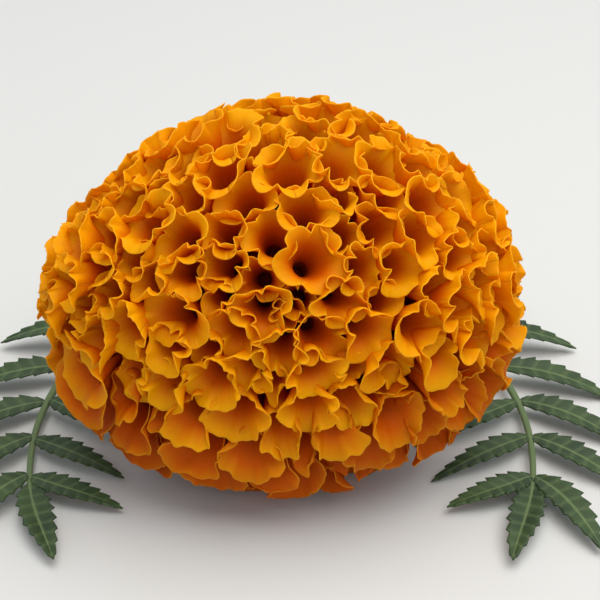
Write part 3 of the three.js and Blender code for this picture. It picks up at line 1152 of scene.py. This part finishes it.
    def slope(
        self, seat: Seats, front: np.ndarray, flare: np.ndarray, ruffles: Ruffles
    ) -> np.ndarray:
        """The lips' slope off the axis, step by step from the throat to the rim.

        It grows from the start to the flare with a power of the share of the way, 1 at
        the crown and 1.3 further out. Near the rim the crests add a roll outwards, most
        on the front side, and the pinches take it away again and stand upright.

        Args:
            seat: the florets' traits, spread over rows and columns.
            front: 1 on the side to which a floret hangs, 0 behind.
            flare: the slope at the rim.
            ruffles: the folds.
        Returns:
            Slopes of shape (florets, steps + 1, columns).
        """
        way = np.linspace(0, 1, self.lip_steps + 1)[None, :, None]
        back_roll = mix(0.3, 0.75, smooth(0.3, 0.5, seat.age))
        roll = mix(back_roll, mix(0.85, 1.25, seat.upper), front)
        roll = roll * mix(0.5, 1.0, ruffles.calm) * ruffles.crest
        roll = roll - (0.25 * ruffles.calm + 0.75 * ruffles.deep) * ruffles.pinch
        power = mix(1.0, 1.3, smooth(0.1, 0.35, seat.age))
        slope = seat.start + (flare - seat.start) * way**power
        return slope + roll * smooth(mix(0.35, 0.58, front * seat.upper), 1.0, way) ** 1.2

    def grown(self, slope: np.ndarray, length: np.ndarray) -> tuple[np.ndarray, np.ndarray]:
        """Follows the lips from the throat to the rim.

        The way out from the axis and the way up along it are the running sums of the
        slope's sine and cosine times a step of the lip, read straight between the steps.

        Args:
            slope: slopes of shape (florets, steps + 1, columns).
            length: the lips' lengths.
        Returns:
            The ways out and up at the rows.
        """
        middle = (slope[:, 1:] + slope[:, :-1]) / 2
        step = length / self.lip_steps
        place = np.clip(self.rows, 0, 1) * self.lip_steps
        before = np.minimum(place.astype(int), self.lip_steps - 1)
        part = (place - before)[None, :, None]
        ways = []
        for share in (np.sin(middle), np.cos(middle)):
            total = np.cumsum(share * step, axis=1)
            total = np.concatenate([np.zeros_like(total[:, :1]), total], axis=1)
            ways.append(mix(total[:, before], total[:, before + 1], part))
        return ways[0], ways[1]

    def funnels(
        self, seats: Seats, meetings: Meetings
    ) -> tuple[np.ndarray, np.ndarray, np.ndarray]:
        """Ruffled cups, crowded by their neighbours and open on the side of the crown
        where they lie low on the face.

        Each point lies at a radius round the tube's axis and a height along it: in the
        tube both shrink to the root, and the lip adds its ways out and up. A lip's flare
        is squeezed to the room between the neighbours, which is widened by a share that
        grows with rank and down the sides and swings with twice the turn.

        Args:
            seats: the florets' traits.
            meetings: how the florets meet.
        Returns:
            Surfaces of shape (florets, rows, columns, 3), and along and across grids.
        """
        seat = seats.spread()
        across = np.linspace(-1, 1, self.columns)[None, None, :]
        turn = across * seat.wrap
        front = mix(0.5, (1 + np.cos(turn - seat.hang)) / 2, seat.strength)
        ruffles = self.ruffles(seat, turn, front)
        swing = 0.06 * np.sin(2 * turn + ruffles.phase[1])
        widened = 1.08 + 0.2 * seat.rank + swing + 0.12 * smooth(0.5, 0.68, seat.age)
        room = self.room(meetings, turn[:, 0, :])[:, None, :] * widened
        lip = mix(seat.back_lip, seat.front_lip, front)
        free = mix(seat.back_flare, seat.front_flare, front)
        flare = self.squeezed_flare(seat.tube, lip, seat.start, free, room)
        slope = self.slope(seat, front, flare, ruffles)
        out, up = self.grown(slope, lip * self.margin(seat, across, turn, ruffles))
        rows = np.array(self.rows)[None, :, None]
        root = np.minimum(rows, 0)
        radius = seat.tube * (1 + seat.taper * root) + out
        height = up + seat.tube_depth * root
        middle = seat.throat + seat.axis * height[..., None]
        surface = around(middle, seat.outward, seat.side, radius, turn)
        grid = surface.shape[:3]
        return surface, np.broadcast_to(rows, grid), np.broadcast_to(across, grid)

    def pressed(self, surface: np.ndarray, seats: Seats, meetings: Meetings) -> np.ndarray:
        """Presses the florets that lie under a neighbour against a wavy, leaning wall.

        The wall goes through the point that shares the way between the two tops; its
        normal is their direction turned by the lean towards the axes. It waves as a sine
        of the way along it, more towards the rims. A point's distance x from the wall
        becomes -c - w log(1 + exp((-x - c) / w)), which leaves far points alone and
        keeps all at least c on their own side. The rims in the middle of the lower face
        go that way in full, the others by the least yield. Low on the face a point then
        draws back towards its throat, by the retreat's share of how far it was moved.

        Args:
            surface: the florets' surfaces.
            seats: the florets' traits.
            meetings: how the florets meet.
        Returns:
            The pressed surfaces.
        """
        top, result = meetings.top, surface.copy()
        width, keep = self.press_width, self.half_thickness
        for i in range(len(surface)):
            gaps, leans = meetings.distance[i], meetings.lean[i]
            lower = smooth(0.05, 0.35, seats.low[i])
            yields = mix(self.least_yield, 1.0, lower * smooth(0.68, 0.5, seats.age[i]))
            nearest = np.argsort(gaps)[1 : self.press_count + 1]
            over = [j for j in nearest[::-1] if gaps[j] < self.press_reach and leans[j] < 0]
            for j in over:
                first, second = min(i, j), max(i, j)
                across = meetings.direction[first, second]
                pole = seats.axis[i] + seats.axis[j]
                pole = unit(pole - across * (pole @ across))
                lean = meetings.lean[first, second]
                normal = across * math.cos(lean) - pole * math.sin(lean)
                level = np.cross(across, pole)
                foot = top[i] + meetings.share[i, j] * (top[j] - top[i])
                away = result[i] - foot
                phase = FULL_TURN * draw(first * 211 + second, 21)
                fade = smooth(-3.5, 2.2, away @ pole)
                calm = smooth(0.25, 0.6, (seats.age[i] + seats.age[j]) / 2)
                swing = np.sin(away @ level * FULL_TURN / self.wall_length + phase)
                wave = mix(*self.wall_wave, calm) * swing * fade
                sign = 1.0 if i == first else -1.0
                past = sign * (away @ normal - wave)
                held = -keep - width * np.logaddexp(0.0, (-past - keep) / width)
                move = yields * sign * (held - past)
                result[i] += move[..., None] * normal
                back = unit(seats.throat[i] - result[i])
                result[i] += (self.retreat * lower * np.abs(move))[..., None] * back
        return result

    def within(self, surface: np.ndarray) -> np.ndarray:
        """Bends what would stick out of the head's egg back to it.

        A point's reach r is the root of the sum of its squared coordinates over the
        egg's half axes; it becomes r - w log(1 + exp((r - 1) / w)), with w 0.02.

        Args:
            surface: places in the head's frame.
        Returns:
            The places, none far outside the egg.
        """
        width = 0.02
        half = np.array([self.half_width, self.half_height, self.dome]) + self.egg_margin
        under = np.array([self.half_width, self.half_height, self.underside]) + self.egg_margin
        axes = np.where(surface[..., 2:] > 0, half, under)
        reach = np.linalg.norm(surface / axes, axis=-1, keepdims=True)
        held = reach - width * np.logaddexp(0.0, (reach - 1) / width)
        return surface * held / np.maximum(reach, 1e-6)

    def lopsided(self, surface: np.ndarray) -> np.ndarray:
        """Pulls the head's upper left shoulder in and lets its lower left out.

        With u and v the shares of the half width and half height, the way is a slack
        times the square of 2 u v / (u squared + v squared) in that quarter, faded in
        from the crown to the rim.

        Args:
            surface: places in the head's frame.
        Returns:
            The moved places.
        """
        inward, outward = np.array([0.55, -0.83, 0.0]), np.array([0.1, 0.99, 0.0])
        u, v = surface[..., 0] / self.half_width, surface[..., 1] / self.half_height
        far = u * u + v * v
        quarter = np.where(u < 0, 2 * u * v / np.maximum(far, 0.01), 0.0)
        quarter = quarter * np.sqrt(smooth(0.02, 1.1, far))
        pulled = self.slack[0] * np.minimum(quarter, 0.0) ** 2
        let_out = self.slack[1] * np.maximum(quarter, 0.0) ** 2
        return surface + (pulled[..., None] * inward - let_out[..., None] * outward)

    def core(self) -> Shell:
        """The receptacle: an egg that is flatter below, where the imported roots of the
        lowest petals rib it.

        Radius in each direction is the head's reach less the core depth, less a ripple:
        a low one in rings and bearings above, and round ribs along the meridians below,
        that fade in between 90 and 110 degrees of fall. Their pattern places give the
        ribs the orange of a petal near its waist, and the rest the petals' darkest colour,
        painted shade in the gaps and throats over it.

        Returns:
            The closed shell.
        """
        fall = np.linspace(0.02, math.pi - 0.02, self.core_rings)[:, None]
        bearing = np.linspace(0, FULL_TURN, self.core_columns, endpoint=False)[None, :]
        ribbed = smooth(math.radians(90), math.radians(110), fall)
        ribs = np.abs(np.cos(self.core_ribs / 2 * bearing + 0.6 * np.sin(3 * bearing)))
        ripple = 1 - 0.02 * np.sin(14 * fall) * np.sin(22 * bearing) * (1 - ribbed)
        ripple = ripple - 0.045 * ribbed * (1 - ribs)
        depth = np.where(np.cos(fall) > 0, self.dome, self.underside) - self.core_depth
        rings = np.stack(
            [
                (self.half_width - self.core_depth) * np.sin(fall) * np.cos(bearing) * ripple,
                (self.half_height - self.core_depth) * np.sin(fall) * np.sin(bearing) * ripple,
                depth * np.cos(fall) * np.ones_like(bearing),
            ],
            axis=-1,
        )
        flat = np.zeros(rings.shape[:2])
        traits = {name: flat for name in ("age", "tone", "rim", "deep", "over")}
        # Painted shade: the top takes the darkest petal colour, so the gaps and throats read dark.
        uv = np.stack([flat + 0.5, flat + mix(0.48, 0.72, ribbed)], axis=-1)
        return closed_tube(rings[::-1], uv[::-1], traits)

    def on_ground(self, points: np.ndarray) -> np.ndarray:
        """Presses what would sink into the surface flat on it: below 6 mm the height
        passes into a soft corner, 0.1 + 0.9 log(1 + exp(height / 0.9)).

        Args:
            points: places in the part's frame.
        Returns:
            The places, none under the surface.
        """
        height = points[..., 2]
        soft = 0.1 + 0.9 * np.log1p(np.exp(np.clip(height / 0.9, -40, 40)))
        near = smooth(6.0, 2.0, height)
        pressed = np.where(height < 6.0, mix(height, soft, near), height)
        return np.concatenate([points[..., :2], np.maximum(pressed, 0.05)[..., None]], axis=-1)

    def build(self, finish: PetalFinish) -> None:
        """Makes the receptacle and the florets, and dresses them.

        Args:
            finish: the petals' finish.
        """
        material = finish.material()
        seats = self.seats()
        meetings = self.meetings(seats)
        surface, along, across = self.funnels(seats, meetings)
        surface = self.lopsided(self.within(self.pressed(surface, seats, meetings)))
        surface = self.on_ground(self.axes.to_part(surface))
        side_rim = smooth(0.02, 0.0, 1 - np.abs(across)) * smooth(0.0, 0.4, along)
        # Nearness to the rim: it thins the petals and carries the painted highlight along the rims.
        near_rim = np.maximum(smooth(0.97, 1.0, along), side_rim)
        half = self.half_thickness * (1 - 0.45 * near_rim)
        uv = np.stack([(across + 1) / 2, (along + 1) / 2], axis=-1)
        # Painted shade: florets low on the face and away from the crown are darkened and reddened.
        deep = smooth(-0.1, 0.75, seats.low) * smooth(0.15, 0.5, seats.age)
        traits = {
            "age": seats.age[:, None, None],
            "tone": draw(seats.number, 9)[:, None, None],
            "rim": near_rim,
            "deep": deep[:, None, None],
        }
        core = self.core()
        core.points = self.on_ground(self.axes.to_part(core.points))
        for first in range(0, self.floret_count, self.florets_in_piece):
            some = slice(first, first + self.florets_in_piece)
            chosen = {name: value[some] for name, value in traits.items()}
            shell = thin_sheets(surface[some], half[some], uv[some], chosen)
            if first == 0:
                shell = shell.join(core)
            piece = shell.build(f"florets_{first // self.florets_in_piece + 1}", material)
            dress(piece, "bloom")


# The calyx


@dataclass
class Calyx:
    """A goblet of fused bracts that holds the head from behind.

    Attributes:
        axes: the head's frame.
        length, top_radius, neck_radius: its size.
        bracts: how many bracts are fused.
        bract_columns, bract_ribs: grid columns and fine ribs on each.
        wall_rings: grid rings from the neck to the teeth.
        tooth: how long their free teeth are.
        gap: room between it and its neighbours.
        core_reach: half width, half height and depth of the receptacle that it holds.
    """

    axes: HeadAxes
    length: float = 24.0
    top_radius: float = 17.0
    neck_radius: float = 4.2
    bracts: int = 8
    bract_columns: int = 20
    bract_ribs: int = 5
    wall_rings: int = 30
    tooth: float = 3.4
    gap: float = 0.3
    core_reach: tuple[float, float, float] = (34.6, 27.6, 11.6)

    def under_core(self, x: np.ndarray, y: np.ndarray) -> np.ndarray:
        """Height of the receptacle's underside: minus its depth times the root of
        1 - (x / half width) squared - (y / half height) squared."""
        half_x, half_y, depth = self.core_reach
        return -depth * np.sqrt(np.maximum(1 - (x / half_x) ** 2 - (y / half_y) ** 2, 0.02))

    def hugging(self, radius: np.ndarray, turn: np.ndarray, drop: float) -> np.ndarray:
        """A ring of points under the receptacle.

        Args:
            radius: how far the points lie from the axis.
            turn: their angles.
            drop: how far under the gap to the receptacle they lie.
        Returns:
            The ring, of shape (1, columns, 3).
        """
        x, y = radius * np.cos(turn), radius * np.sin(turn)
        return np.stack([x, y, self.under_core(x, y) - self.gap - drop], axis=-1)

    def shell(self) -> Shell:
        """Rings from the neck up the wall, over the teeth and down inside.

        The wall's radius grows with the power 0.8 of a quarter sine; each bract swells
        by a tent over its width, with a groove at its seams and fine ribs. The teeth lie
        along the receptacle's underside.

        Returns:
            The closed shell in the head's frame.
        """
        columns = self.bracts * self.bract_columns
        turn = np.linspace(0, FULL_TURN, columns, endpoint=False)[None, :]
        within = (turn * self.bracts / FULL_TURN) % 1.0
        tent = 1 - np.abs(2 * within - 1)
        rib_wave = np.cos(FULL_TURN * self.bract_ribs * within)
        bottom = -self.core_reach[2] - self.length
        top = self.under_core(np.array(self.top_radius), np.array(0.0)) - 1.0 - self.gap
        climb = np.linspace(0, 0.97, self.wall_rings)[:, None]
        plain = mix(self.neck_radius, self.top_radius - 1, np.sin(climb * math.pi / 2) ** 0.8)
        ribs = 0.012 * rib_wave * smooth(0.05, 0.3, climb)
        groove = -0.055 * np.exp(-((tent / 0.14) ** 2)) * smooth(0.1, 0.5, climb)
        radius = plain * (1 + 0.1 * climb * (tent - 0.5) + ribs + groove)
        height = mix(bottom, top, climb * mix(0.7, 1, climb)) + 0 * turn
        wall = np.stack([radius * np.cos(turn), radius * np.sin(turn), height], axis=-1)
        tip = self.top_radius + self.tooth * (tent**0.8 - 0.4)
        over_teeth = ((-0.2, 1.0), (0.0, 0.75), (0.05, 0.45), (0.0, 0.15), (-0.6, 0.0))
        teeth = [self.hugging(tip + reach, turn, drop) for reach, drop in over_teeth]
        inside = [self.hugging(self.top_radius - step, turn, 0.0) for step in (4, 8, 12)]
        rings = np.concatenate([wall, *teeth, *inside])
        rib = np.zeros(rings.shape[:2])
        rib[: len(wall)] = np.clip(rib_wave * 0.5, 0, 1) * smooth(0.1, 0.4, climb)
        uv = wrapped(turn, np.linspace(0, 1, len(rings))[:, None])
        return closed_tube(rings, uv, {"rib": rib})

    def build(self, finish: GreenFinish) -> None:
        """Makes the calyx and dresses it.

        Args:
            finish: its green skin.
        """
        shell = self.shell()
        shell.points = self.axes.to_part(shell.points)
        dress(shell.build("calyx_bracts", finish.material()), "calyx")


# The stem


@dataclass
class Stem:
    """The ribbed stalk, from the calyx down to the surface and along it.

    Attributes:
        axes: the head's frame.
        radius, neck_radius: its thickness.
        flat_depth: how deep its underside is pressed flat.
        landing_y, end_y: where it reaches the surface and where it is cut, from the head.
        side_bend: how far its end bends to the side.
        rib_count: its ribs.
        joint_share, joint_swelling: where the leaves sit and how the stalk swells there.
        calyx_bottom: the calyx's lower end in the head's frame.
        ring_count, columns: its grid.
    """

    axes: HeadAxes
    radius: float = 2.6
    neck_radius: float = 4.2
    flat_depth: float = 0.35
    landing_y: float = 84.0
    end_y: float = 108.0
    side_bend: float = 8.0
    rib_count: int = 6
    joint_share: float = 0.25
    joint_swelling: float = 0.7
    calyx_bottom: float = -35.9
    ring_count: int = 150
    columns: int = 72

    def path(self) -> Path:
        """A quadratic arc from the calyx to the surface, then a level line; the whole is
        bent sideways by the square of the share of its length.

        Returns:
            The stem's line in the part's frame.
        """
        start = self.axes.to_part(np.array([0.0, 0.0, self.calyx_bottom]))
        facing = self.axes.to_part(-Z) - np.array(self.axes.centre)
        level = self.radius - self.flat_depth
        shift = self.axes.centre[1]
        corner = start + facing * (level - start[2]) / facing[2]
        landing = np.array([0.0, self.landing_y + shift, level])
        end = np.array([0.0, self.end_y + shift, level])
        t = np.linspace(0, 1, 160)[:, None]
        arc = start * (1 - t) ** 2 + 2 * corner * t * (1 - t) + landing * t**2
        points = np.vstack([arc, landing + (end - landing) * t[1:]])
        straight = Path(points)
        bend = self.side_bend * straight.reach() ** 2 / straight.length**2
        return Path(points + bend[:, None] * X)

    def shell(self) -> Shell:
        """Rings along the line whose radius has low ribs, a wider neck and a swelling at
        the leaf joint; the cut end is closed by four shrinking rings.

        Returns:
            The closed shell in the part's frame.
        """
        cut_radius = np.array([0.96, 0.9, 0.6, 0.3])[:, None]
        cut_shift = np.array([0.06, 0.02, -0.02, -0.15])[:, None, None]
        share = np.linspace(0, 1, self.ring_count)[:, None]
        turn = np.linspace(0, FULL_TURN, self.columns, endpoint=False)[None, :]
        neck = mix(self.neck_radius, self.radius, smooth(0, 0.28, share))
        joint = self.joint_swelling * np.exp(-(((share - self.joint_share) / 0.03) ** 2))
        wave = np.sin(self.rib_count * turn)
        ribs = 0.045 * np.sign(wave) * np.abs(wave) ** 0.7 + 0.012 * np.sin(19 * turn)
        radius = (neck + joint) * (1 + ribs)
        radius = np.vstack([radius, radius[-1:] * cut_radius])
        share = np.vstack([share, np.ones_like(cut_radius)])
        middle, side, up = (v[:, None, :] for v in self.path().frame(share[:, 0]))
        rings = around(middle, side, up, radius, turn)
        rings[-len(cut_radius) :] += Y * cut_shift
        rings[..., 2] = np.maximum(rings[..., 2], 0.0)
        rib = np.clip(0.32 * wave + 0 * radius, 0, 1)
        rib[-len(cut_radius) :] = 0.9
        uv = wrapped(turn, np.linspace(0, 1, len(rings))[:, None])
        return closed_tube(rings, uv, {"rib": rib})

    def build(self, finish: GreenFinish) -> None:
        """Makes the stem and dresses it."""
        dress(self.shell().build("stem_stalk", finish.material()), "stem")


# Leaves


@dataclass
class Leaf:
    """A feathered leaf: pairs of toothed leaflets and one at the tip, on a thin rib.

    Attributes:
        hand: the side that it is on.
        seed: sets it apart from the other leaf.
        stem: the stem that carries it.
        pairs, leaflet_length, leaflet_width: its leaflets.
        leaflet_rows, leaflet_columns: the grid of one leaflet.
        half_thickness: half of a leaflet's thickness.
        petiole_share: the bare share of the rib.
        rib_base, rib_tip: the rib's radius.
        rib_sink: how far the rib's foot reaches back into the stem.
        teeth: teeth on each side of a leaflet.
        stops: where the rib's line passes, for the right leaf, from the head's place.
    """

    hand: Hand
    seed: int
    stem: Stem
    pairs: int = 6
    leaflet_length: float = 22.0
    leaflet_width: float = 6.0
    leaflet_rows: int = 49
    leaflet_columns: int = 13
    half_thickness: float = 0.26
    petiole_share: float = 0.24
    rib_base: float = 1.1
    rib_tip: float = 0.5
    rib_sink: float = 2.8
    teeth: int = 8
    stops: tuple[tuple[float, float, float], ...] = (
        (16, 52, 9.5),
        (34, 37, 5.2),
        (45, 12, 2.3),
        (45, -14, 2.1),
        (38, -36, 2.1),
    )

    def path(self) -> Path:
        """The rib's line: from the stem's joint round the head towards the front.

        Returns:
            The line in the part's frame.
        """
        middle, side, _ = self.stem.path().frame(np.array([self.stem.joint_share]))
        start = middle[0] - self.hand.value * side[0] * (self.stem.radius + 1.6)
        shift = self.stem.axes.centre[1]
        points = [np.array([self.hand.value * x, y + shift, z]) for x, y, z in self.stops]
        return spline_through(np.array([start, *points]))

    def placing(self, length: float) -> tuple[np.ndarray, np.ndarray, np.ndarray]:
        """Where the leaflets sit along the rib, at what angle and how long they are.

        Args:
            length: the rib's length.
        Returns:
            Base, angle in radians and reach, each of shape (leaflets, 1, 1).
        """
        tip_base = length - self.leaflet_length
        leaflets = []
        for pair in range(self.pairs):
            share = pair / (self.pairs - 1)
            for hand in (-1, 1):
                trait = self.seed + hand
                base = mix(self.petiole_share * length, tip_base - 4, share) + 2 * draw(pair, trait)
                angle = hand * (mix(64, 42, share) + 8 * draw(pair, trait + 3))
                fullness = mix(0.7, 1, math.sin(math.pi * mix(0.2, 0.8, share)))
                reach = self.leaflet_length * fullness * mix(0.92, 1.06, draw(pair, trait + 6))
                leaflets.append((base, math.radians(angle), reach))
        leaflets.append((tip_base - 1, 0.0, self.leaflet_length * 0.94))
        base, angle, reach = (np.array(column)[:, None, None] for column in zip(*leaflets))
        return base, angle, reach

    def leaflets(self, line: Path) -> Shell:
        """The leaflets as thin sheets that follow the rib's line.

        A leaflet's half width at a share s of its length is half its width times the
        power 0.8 of sin(pi s to the power 0.75), with saw teeth that lean to the tip,
        plus a little that keeps its ends open. Its place beside the line is turned by
        its angle; its height is an arch, 0.16 |across| - 0.014 across squared, plus a
        fold up from the midrib and low ridges at the side veins.

        Args:
            line: the rib's line.
        Returns:
            One shell with all the leaflets.
        """
        base, angle, reach = self.placing(line.length)
        number = np.arange(len(base))[:, None, None] + self.seed
        s = np.linspace(0, 1, self.leaflet_rows)[None, :, None]
        w = np.linspace(-1, 1, self.leaflet_columns)[None, None, :]
        saw = (s * self.teeth + 0.35) % 1.0
        tooth = mix(0.8, 1.12, saw**1.3)
        half_width = self.leaflet_width / 2 * np.sin(math.pi * s**0.75) ** 0.8
        half_width = half_width * tooth + 0.12 * (1 - 0.5 * s)

        # In the plane of the rib: x along the leaflet, y across it.
        x = s * reach * 1.06 + 0.5 * np.abs(w) * saw
        y = w * half_width
        sway = 0.05 * reach * (2 * draw(number, 3) - 1) * s**2
        flat_x = base + x * np.cos(angle) - (y + sway) * np.sin(angle)
        flat_y = x * np.sin(angle) + (y + sway) * np.cos(angle)

        # Over that plane.
        arch = 0.16 * np.abs(flat_y) - 0.014 * flat_y**2
        vein_wave = (s * self.teeth - 0.32 * np.abs(w)) % 1.0
        vein = np.exp(-(((vein_wave - 0.5) / 0.13) ** 2)) * smooth(0.02, 0.2, np.abs(w))
        belly = 0.3 * np.sin(math.pi * s) * mix(0.2, 1.0, draw(number, 5))
        fold = 0.24 * np.abs(y) + belly - 0.07 * vein
        place, side, up = line.frame(np.clip(flat_x / line.length, 0, 1))
        surface = place + side * flat_y[..., None] + up * (arch + fold)[..., None]
        surface[..., 2] = np.maximum(surface[..., 2], 0.28)

        grid = surface.shape[:3]
        edge = np.maximum(smooth(0.8, 1.0, np.abs(w)), smooth(0.95, 1.0, s))
        half = self.half_thickness * (1 - 0.6 * edge)
        rib = np.clip(np.exp(-((w / 0.09) ** 2)) * 0.8 + 0.3 * vein, 0, 1)
        uv = np.stack([np.broadcast_to((w + 1) / 2, grid), np.broadcast_to(s, grid)], axis=-1)
        return thin_sheets(surface, half, uv, {"rib": rib})

    def rib(self, line: Path) -> Shell:
        """The rib: rings along its line with a groove on top, from a wider foot sunk in
        the stem's swelling to a fine tip.

        Args:
            line: the rib's line.
        Returns:
            The closed shell.
        """
        share = np.linspace(0, 0.9, 90)[:, None]
        turn = np.linspace(0, FULL_TURN, 20, endpoint=False)[None, :]
        groove = 1 - 0.16 * np.exp(-(((turn - math.pi / 2) / 0.45) ** 2))
        radius = mix(self.rib_base, self.rib_tip * 0.8, share) * groove
        middle, side, up = (v[:, None, :] for v in line.frame(share[:, 0]))
        rings = around(middle, side, up, radius, turn)
        back = unit(middle[0] - middle[1])
        foot = middle[0] + (rings[:1] - middle[0]) * 1.25
        sunk = [foot + way * self.rib_sink * back for way in (1.0, 0.5)]
        rings = np.concatenate([*sunk, rings])
        rings[..., 2] = np.maximum(rings[..., 2], 0.02)
        share = np.concatenate([[[0.0], [0.0]], share])
        flat = np.ones(rings.shape[:2])
        return closed_tube(rings, wrapped(turn, share), {"rib": 0.7 * flat, "over": flat})

    def build(self, finish: GreenFinish) -> None:
        """Makes the leaf and dresses it.

        Args:
            finish: its green skin.
        """
        line = self.path()
        shell = self.leaflets(line).join(self.rib(line))
        side = self.hand.name.lower()
        piece = shell.build(f"leaf_blades_{side}", finish.material())
        dress(piece, f"leaf_{side}")


# The studio


@dataclass(frozen=True)
class SoftBox:
    """A square lamp that looks at the head.

    Attributes:
        name: the lamp's name.
        place: where it stands, in metres from the head.
        size: its side in metres.
        watts: its power.
        colour: its tint.
    """

    name: str
    place: tuple[float, float, float]
    size: float
    watts: float
    colour: tuple[float, float, float] = (1.0, 1.0, 1.0)


@dataclass
class Studio:
    """A plain pale floor, soft light and the camera.

    Attributes:
        axes: the head's frame, which the camera looks at.
        elevation: how high the camera looks from, in degrees.
        lens: focal length in millimetres.
        sensor: the sensor's width in millimetres.
        head_width: the head's width in millimetres.
        head_pixels: that width in the frame.
        frame_pixels: the frame's own width.
        aim_shift: how far the frame's middle lies right of and under the head's middle,
            in pixels.
        floor_half: half of the floor's side in metres.
        air, air_strength: colour and strength of the light from all round.
        lamps: the soft boxes.
    """

    axes: HeadAxes
    elevation: float = 31.0
    lens: float = 100.0
    sensor: float = 36.0
    head_width: float = 86.0
    head_pixels: float = 487.0
    frame_pixels: float = 600.0
    aim_shift: tuple[float, float] = (19.0, 5.0)
    floor_half: float = 3.0
    air: Colour = (0.92, 0.96, 1.0, 1.0)
    air_strength: float = 0.6
    lamps: tuple[SoftBox, ...] = (
        SoftBox("overhead", (0.16, -0.02, 0.72), 0.9, 7.0, (1.0, 0.98, 0.95)),
        SoftBox("front_fill", (0.35, -0.75, 0.35), 0.6, 0.6),
    )

    def camera(self) -> None:
        """Puts the camera in front of the head at the distance that gives its width."""
        view_width = self.head_width * self.frame_pixels / self.head_pixels
        distance = view_width * self.lens / self.sensor
        e = math.radians(self.elevation)
        back = np.array([0.0, -math.cos(e), math.sin(e)])
        up = np.array([0.0, math.sin(e), math.cos(e)])
        per_pixel = view_width / self.frame_pixels
        right_by, down_by = self.aim_shift
        aim = np.array(self.axes.centre) + per_pixel * (right_by * X - down_by * up)
        data = bpy.data.cameras.new("camera")
        data.lens = self.lens
        data.sensor_width = self.sensor
        data.clip_start = 0.01
        camera = bpy.data.objects.new("camera", data)
        camera.location = Vector((aim + back * distance) * MM)
        camera.rotation_euler = Vector(-back).to_track_quat("-Z", "Y").to_euler()
        bpy.context.scene.collection.objects.link(camera)
        bpy.context.scene.camera = camera

    def light(self, lamp: SoftBox) -> None:
        """Sets up a soft box.

        Args:
            lamp: the soft box.
        """
        data = bpy.data.lights.new(lamp.name, "AREA")
        data.size = lamp.size
        data.energy = lamp.watts
        data.color = lamp.colour
        place = Vector(lamp.place)
        box = bpy.data.objects.new(lamp.name, data)
        box.location = place + Vector(self.axes.centre) * MM
        box.rotation_euler = (-place).to_track_quat("-Z", "Y").to_euler()
        bpy.context.scene.collection.objects.link(box)

    def floor(self, finish: FloorFinish) -> None:
        """Lays the floor.

        Args:
            finish: its finish.
        """
        h = self.floor_half
        mesh = bpy.data.meshes.new("floor")
        mesh.from_pydata([(-h, -h, 0), (h, -h, 0), (h, h, 0), (-h, h, 0)], [], [(0, 1, 2, 3)])
        mesh.materials.append(finish.material())
        floor = bpy.data.objects.new("floor", mesh)
        bpy.context.scene.collection.objects.link(floor)

    def build(self) -> None:
        """Makes the floor, the light from all round, the lamps and the camera."""
        self.floor(FloorFinish())
        world = bpy.data.worlds.new("studio_air")
        world.use_nodes = True
        background = world.node_tree.nodes["Background"]
        background.inputs["Color"].default_value = self.air
        background.inputs["Strength"].default_value = self.air_strength
        bpy.context.scene.world = world
        bpy.context.scene.view_settings.view_transform = "Standard"
        for lamp in self.lamps:
            self.light(lamp)
        self.camera()


def main() -> None:
    """Builds the flower's sub-assemblies in order, and the studio round them."""
    axes = HeadAxes()
    stem = Stem(axes)
    calyx_green = GreenFinish(
        "calyx_green", paint(62, 92, 34), paint(98, 122, 48), paint(128, 148, 70)
    )
    stem_green = GreenFinish(
        "stem_green", paint(70, 96, 42), paint(104, 124, 60), paint(140, 156, 92)
    )
    leaf_green = GreenFinish(
        "leaf_green",
        paint(38, 58, 30),
        paint(62, 84, 46),
        paint(112, 132, 84),
        see_through=0.12,
        patch_scale=150.0,
    )
    Bloom(axes).build(PetalFinish())
    Calyx(axes).build(calyx_green)
    stem.build(stem_green)
    for hand, seed in ((Hand.LEFT, 20), (Hand.RIGHT, 40)):
        Leaf(hand, seed, stem).build(leaf_green)
    Studio(axes).build()


if __name__ == "__main__":
    main()
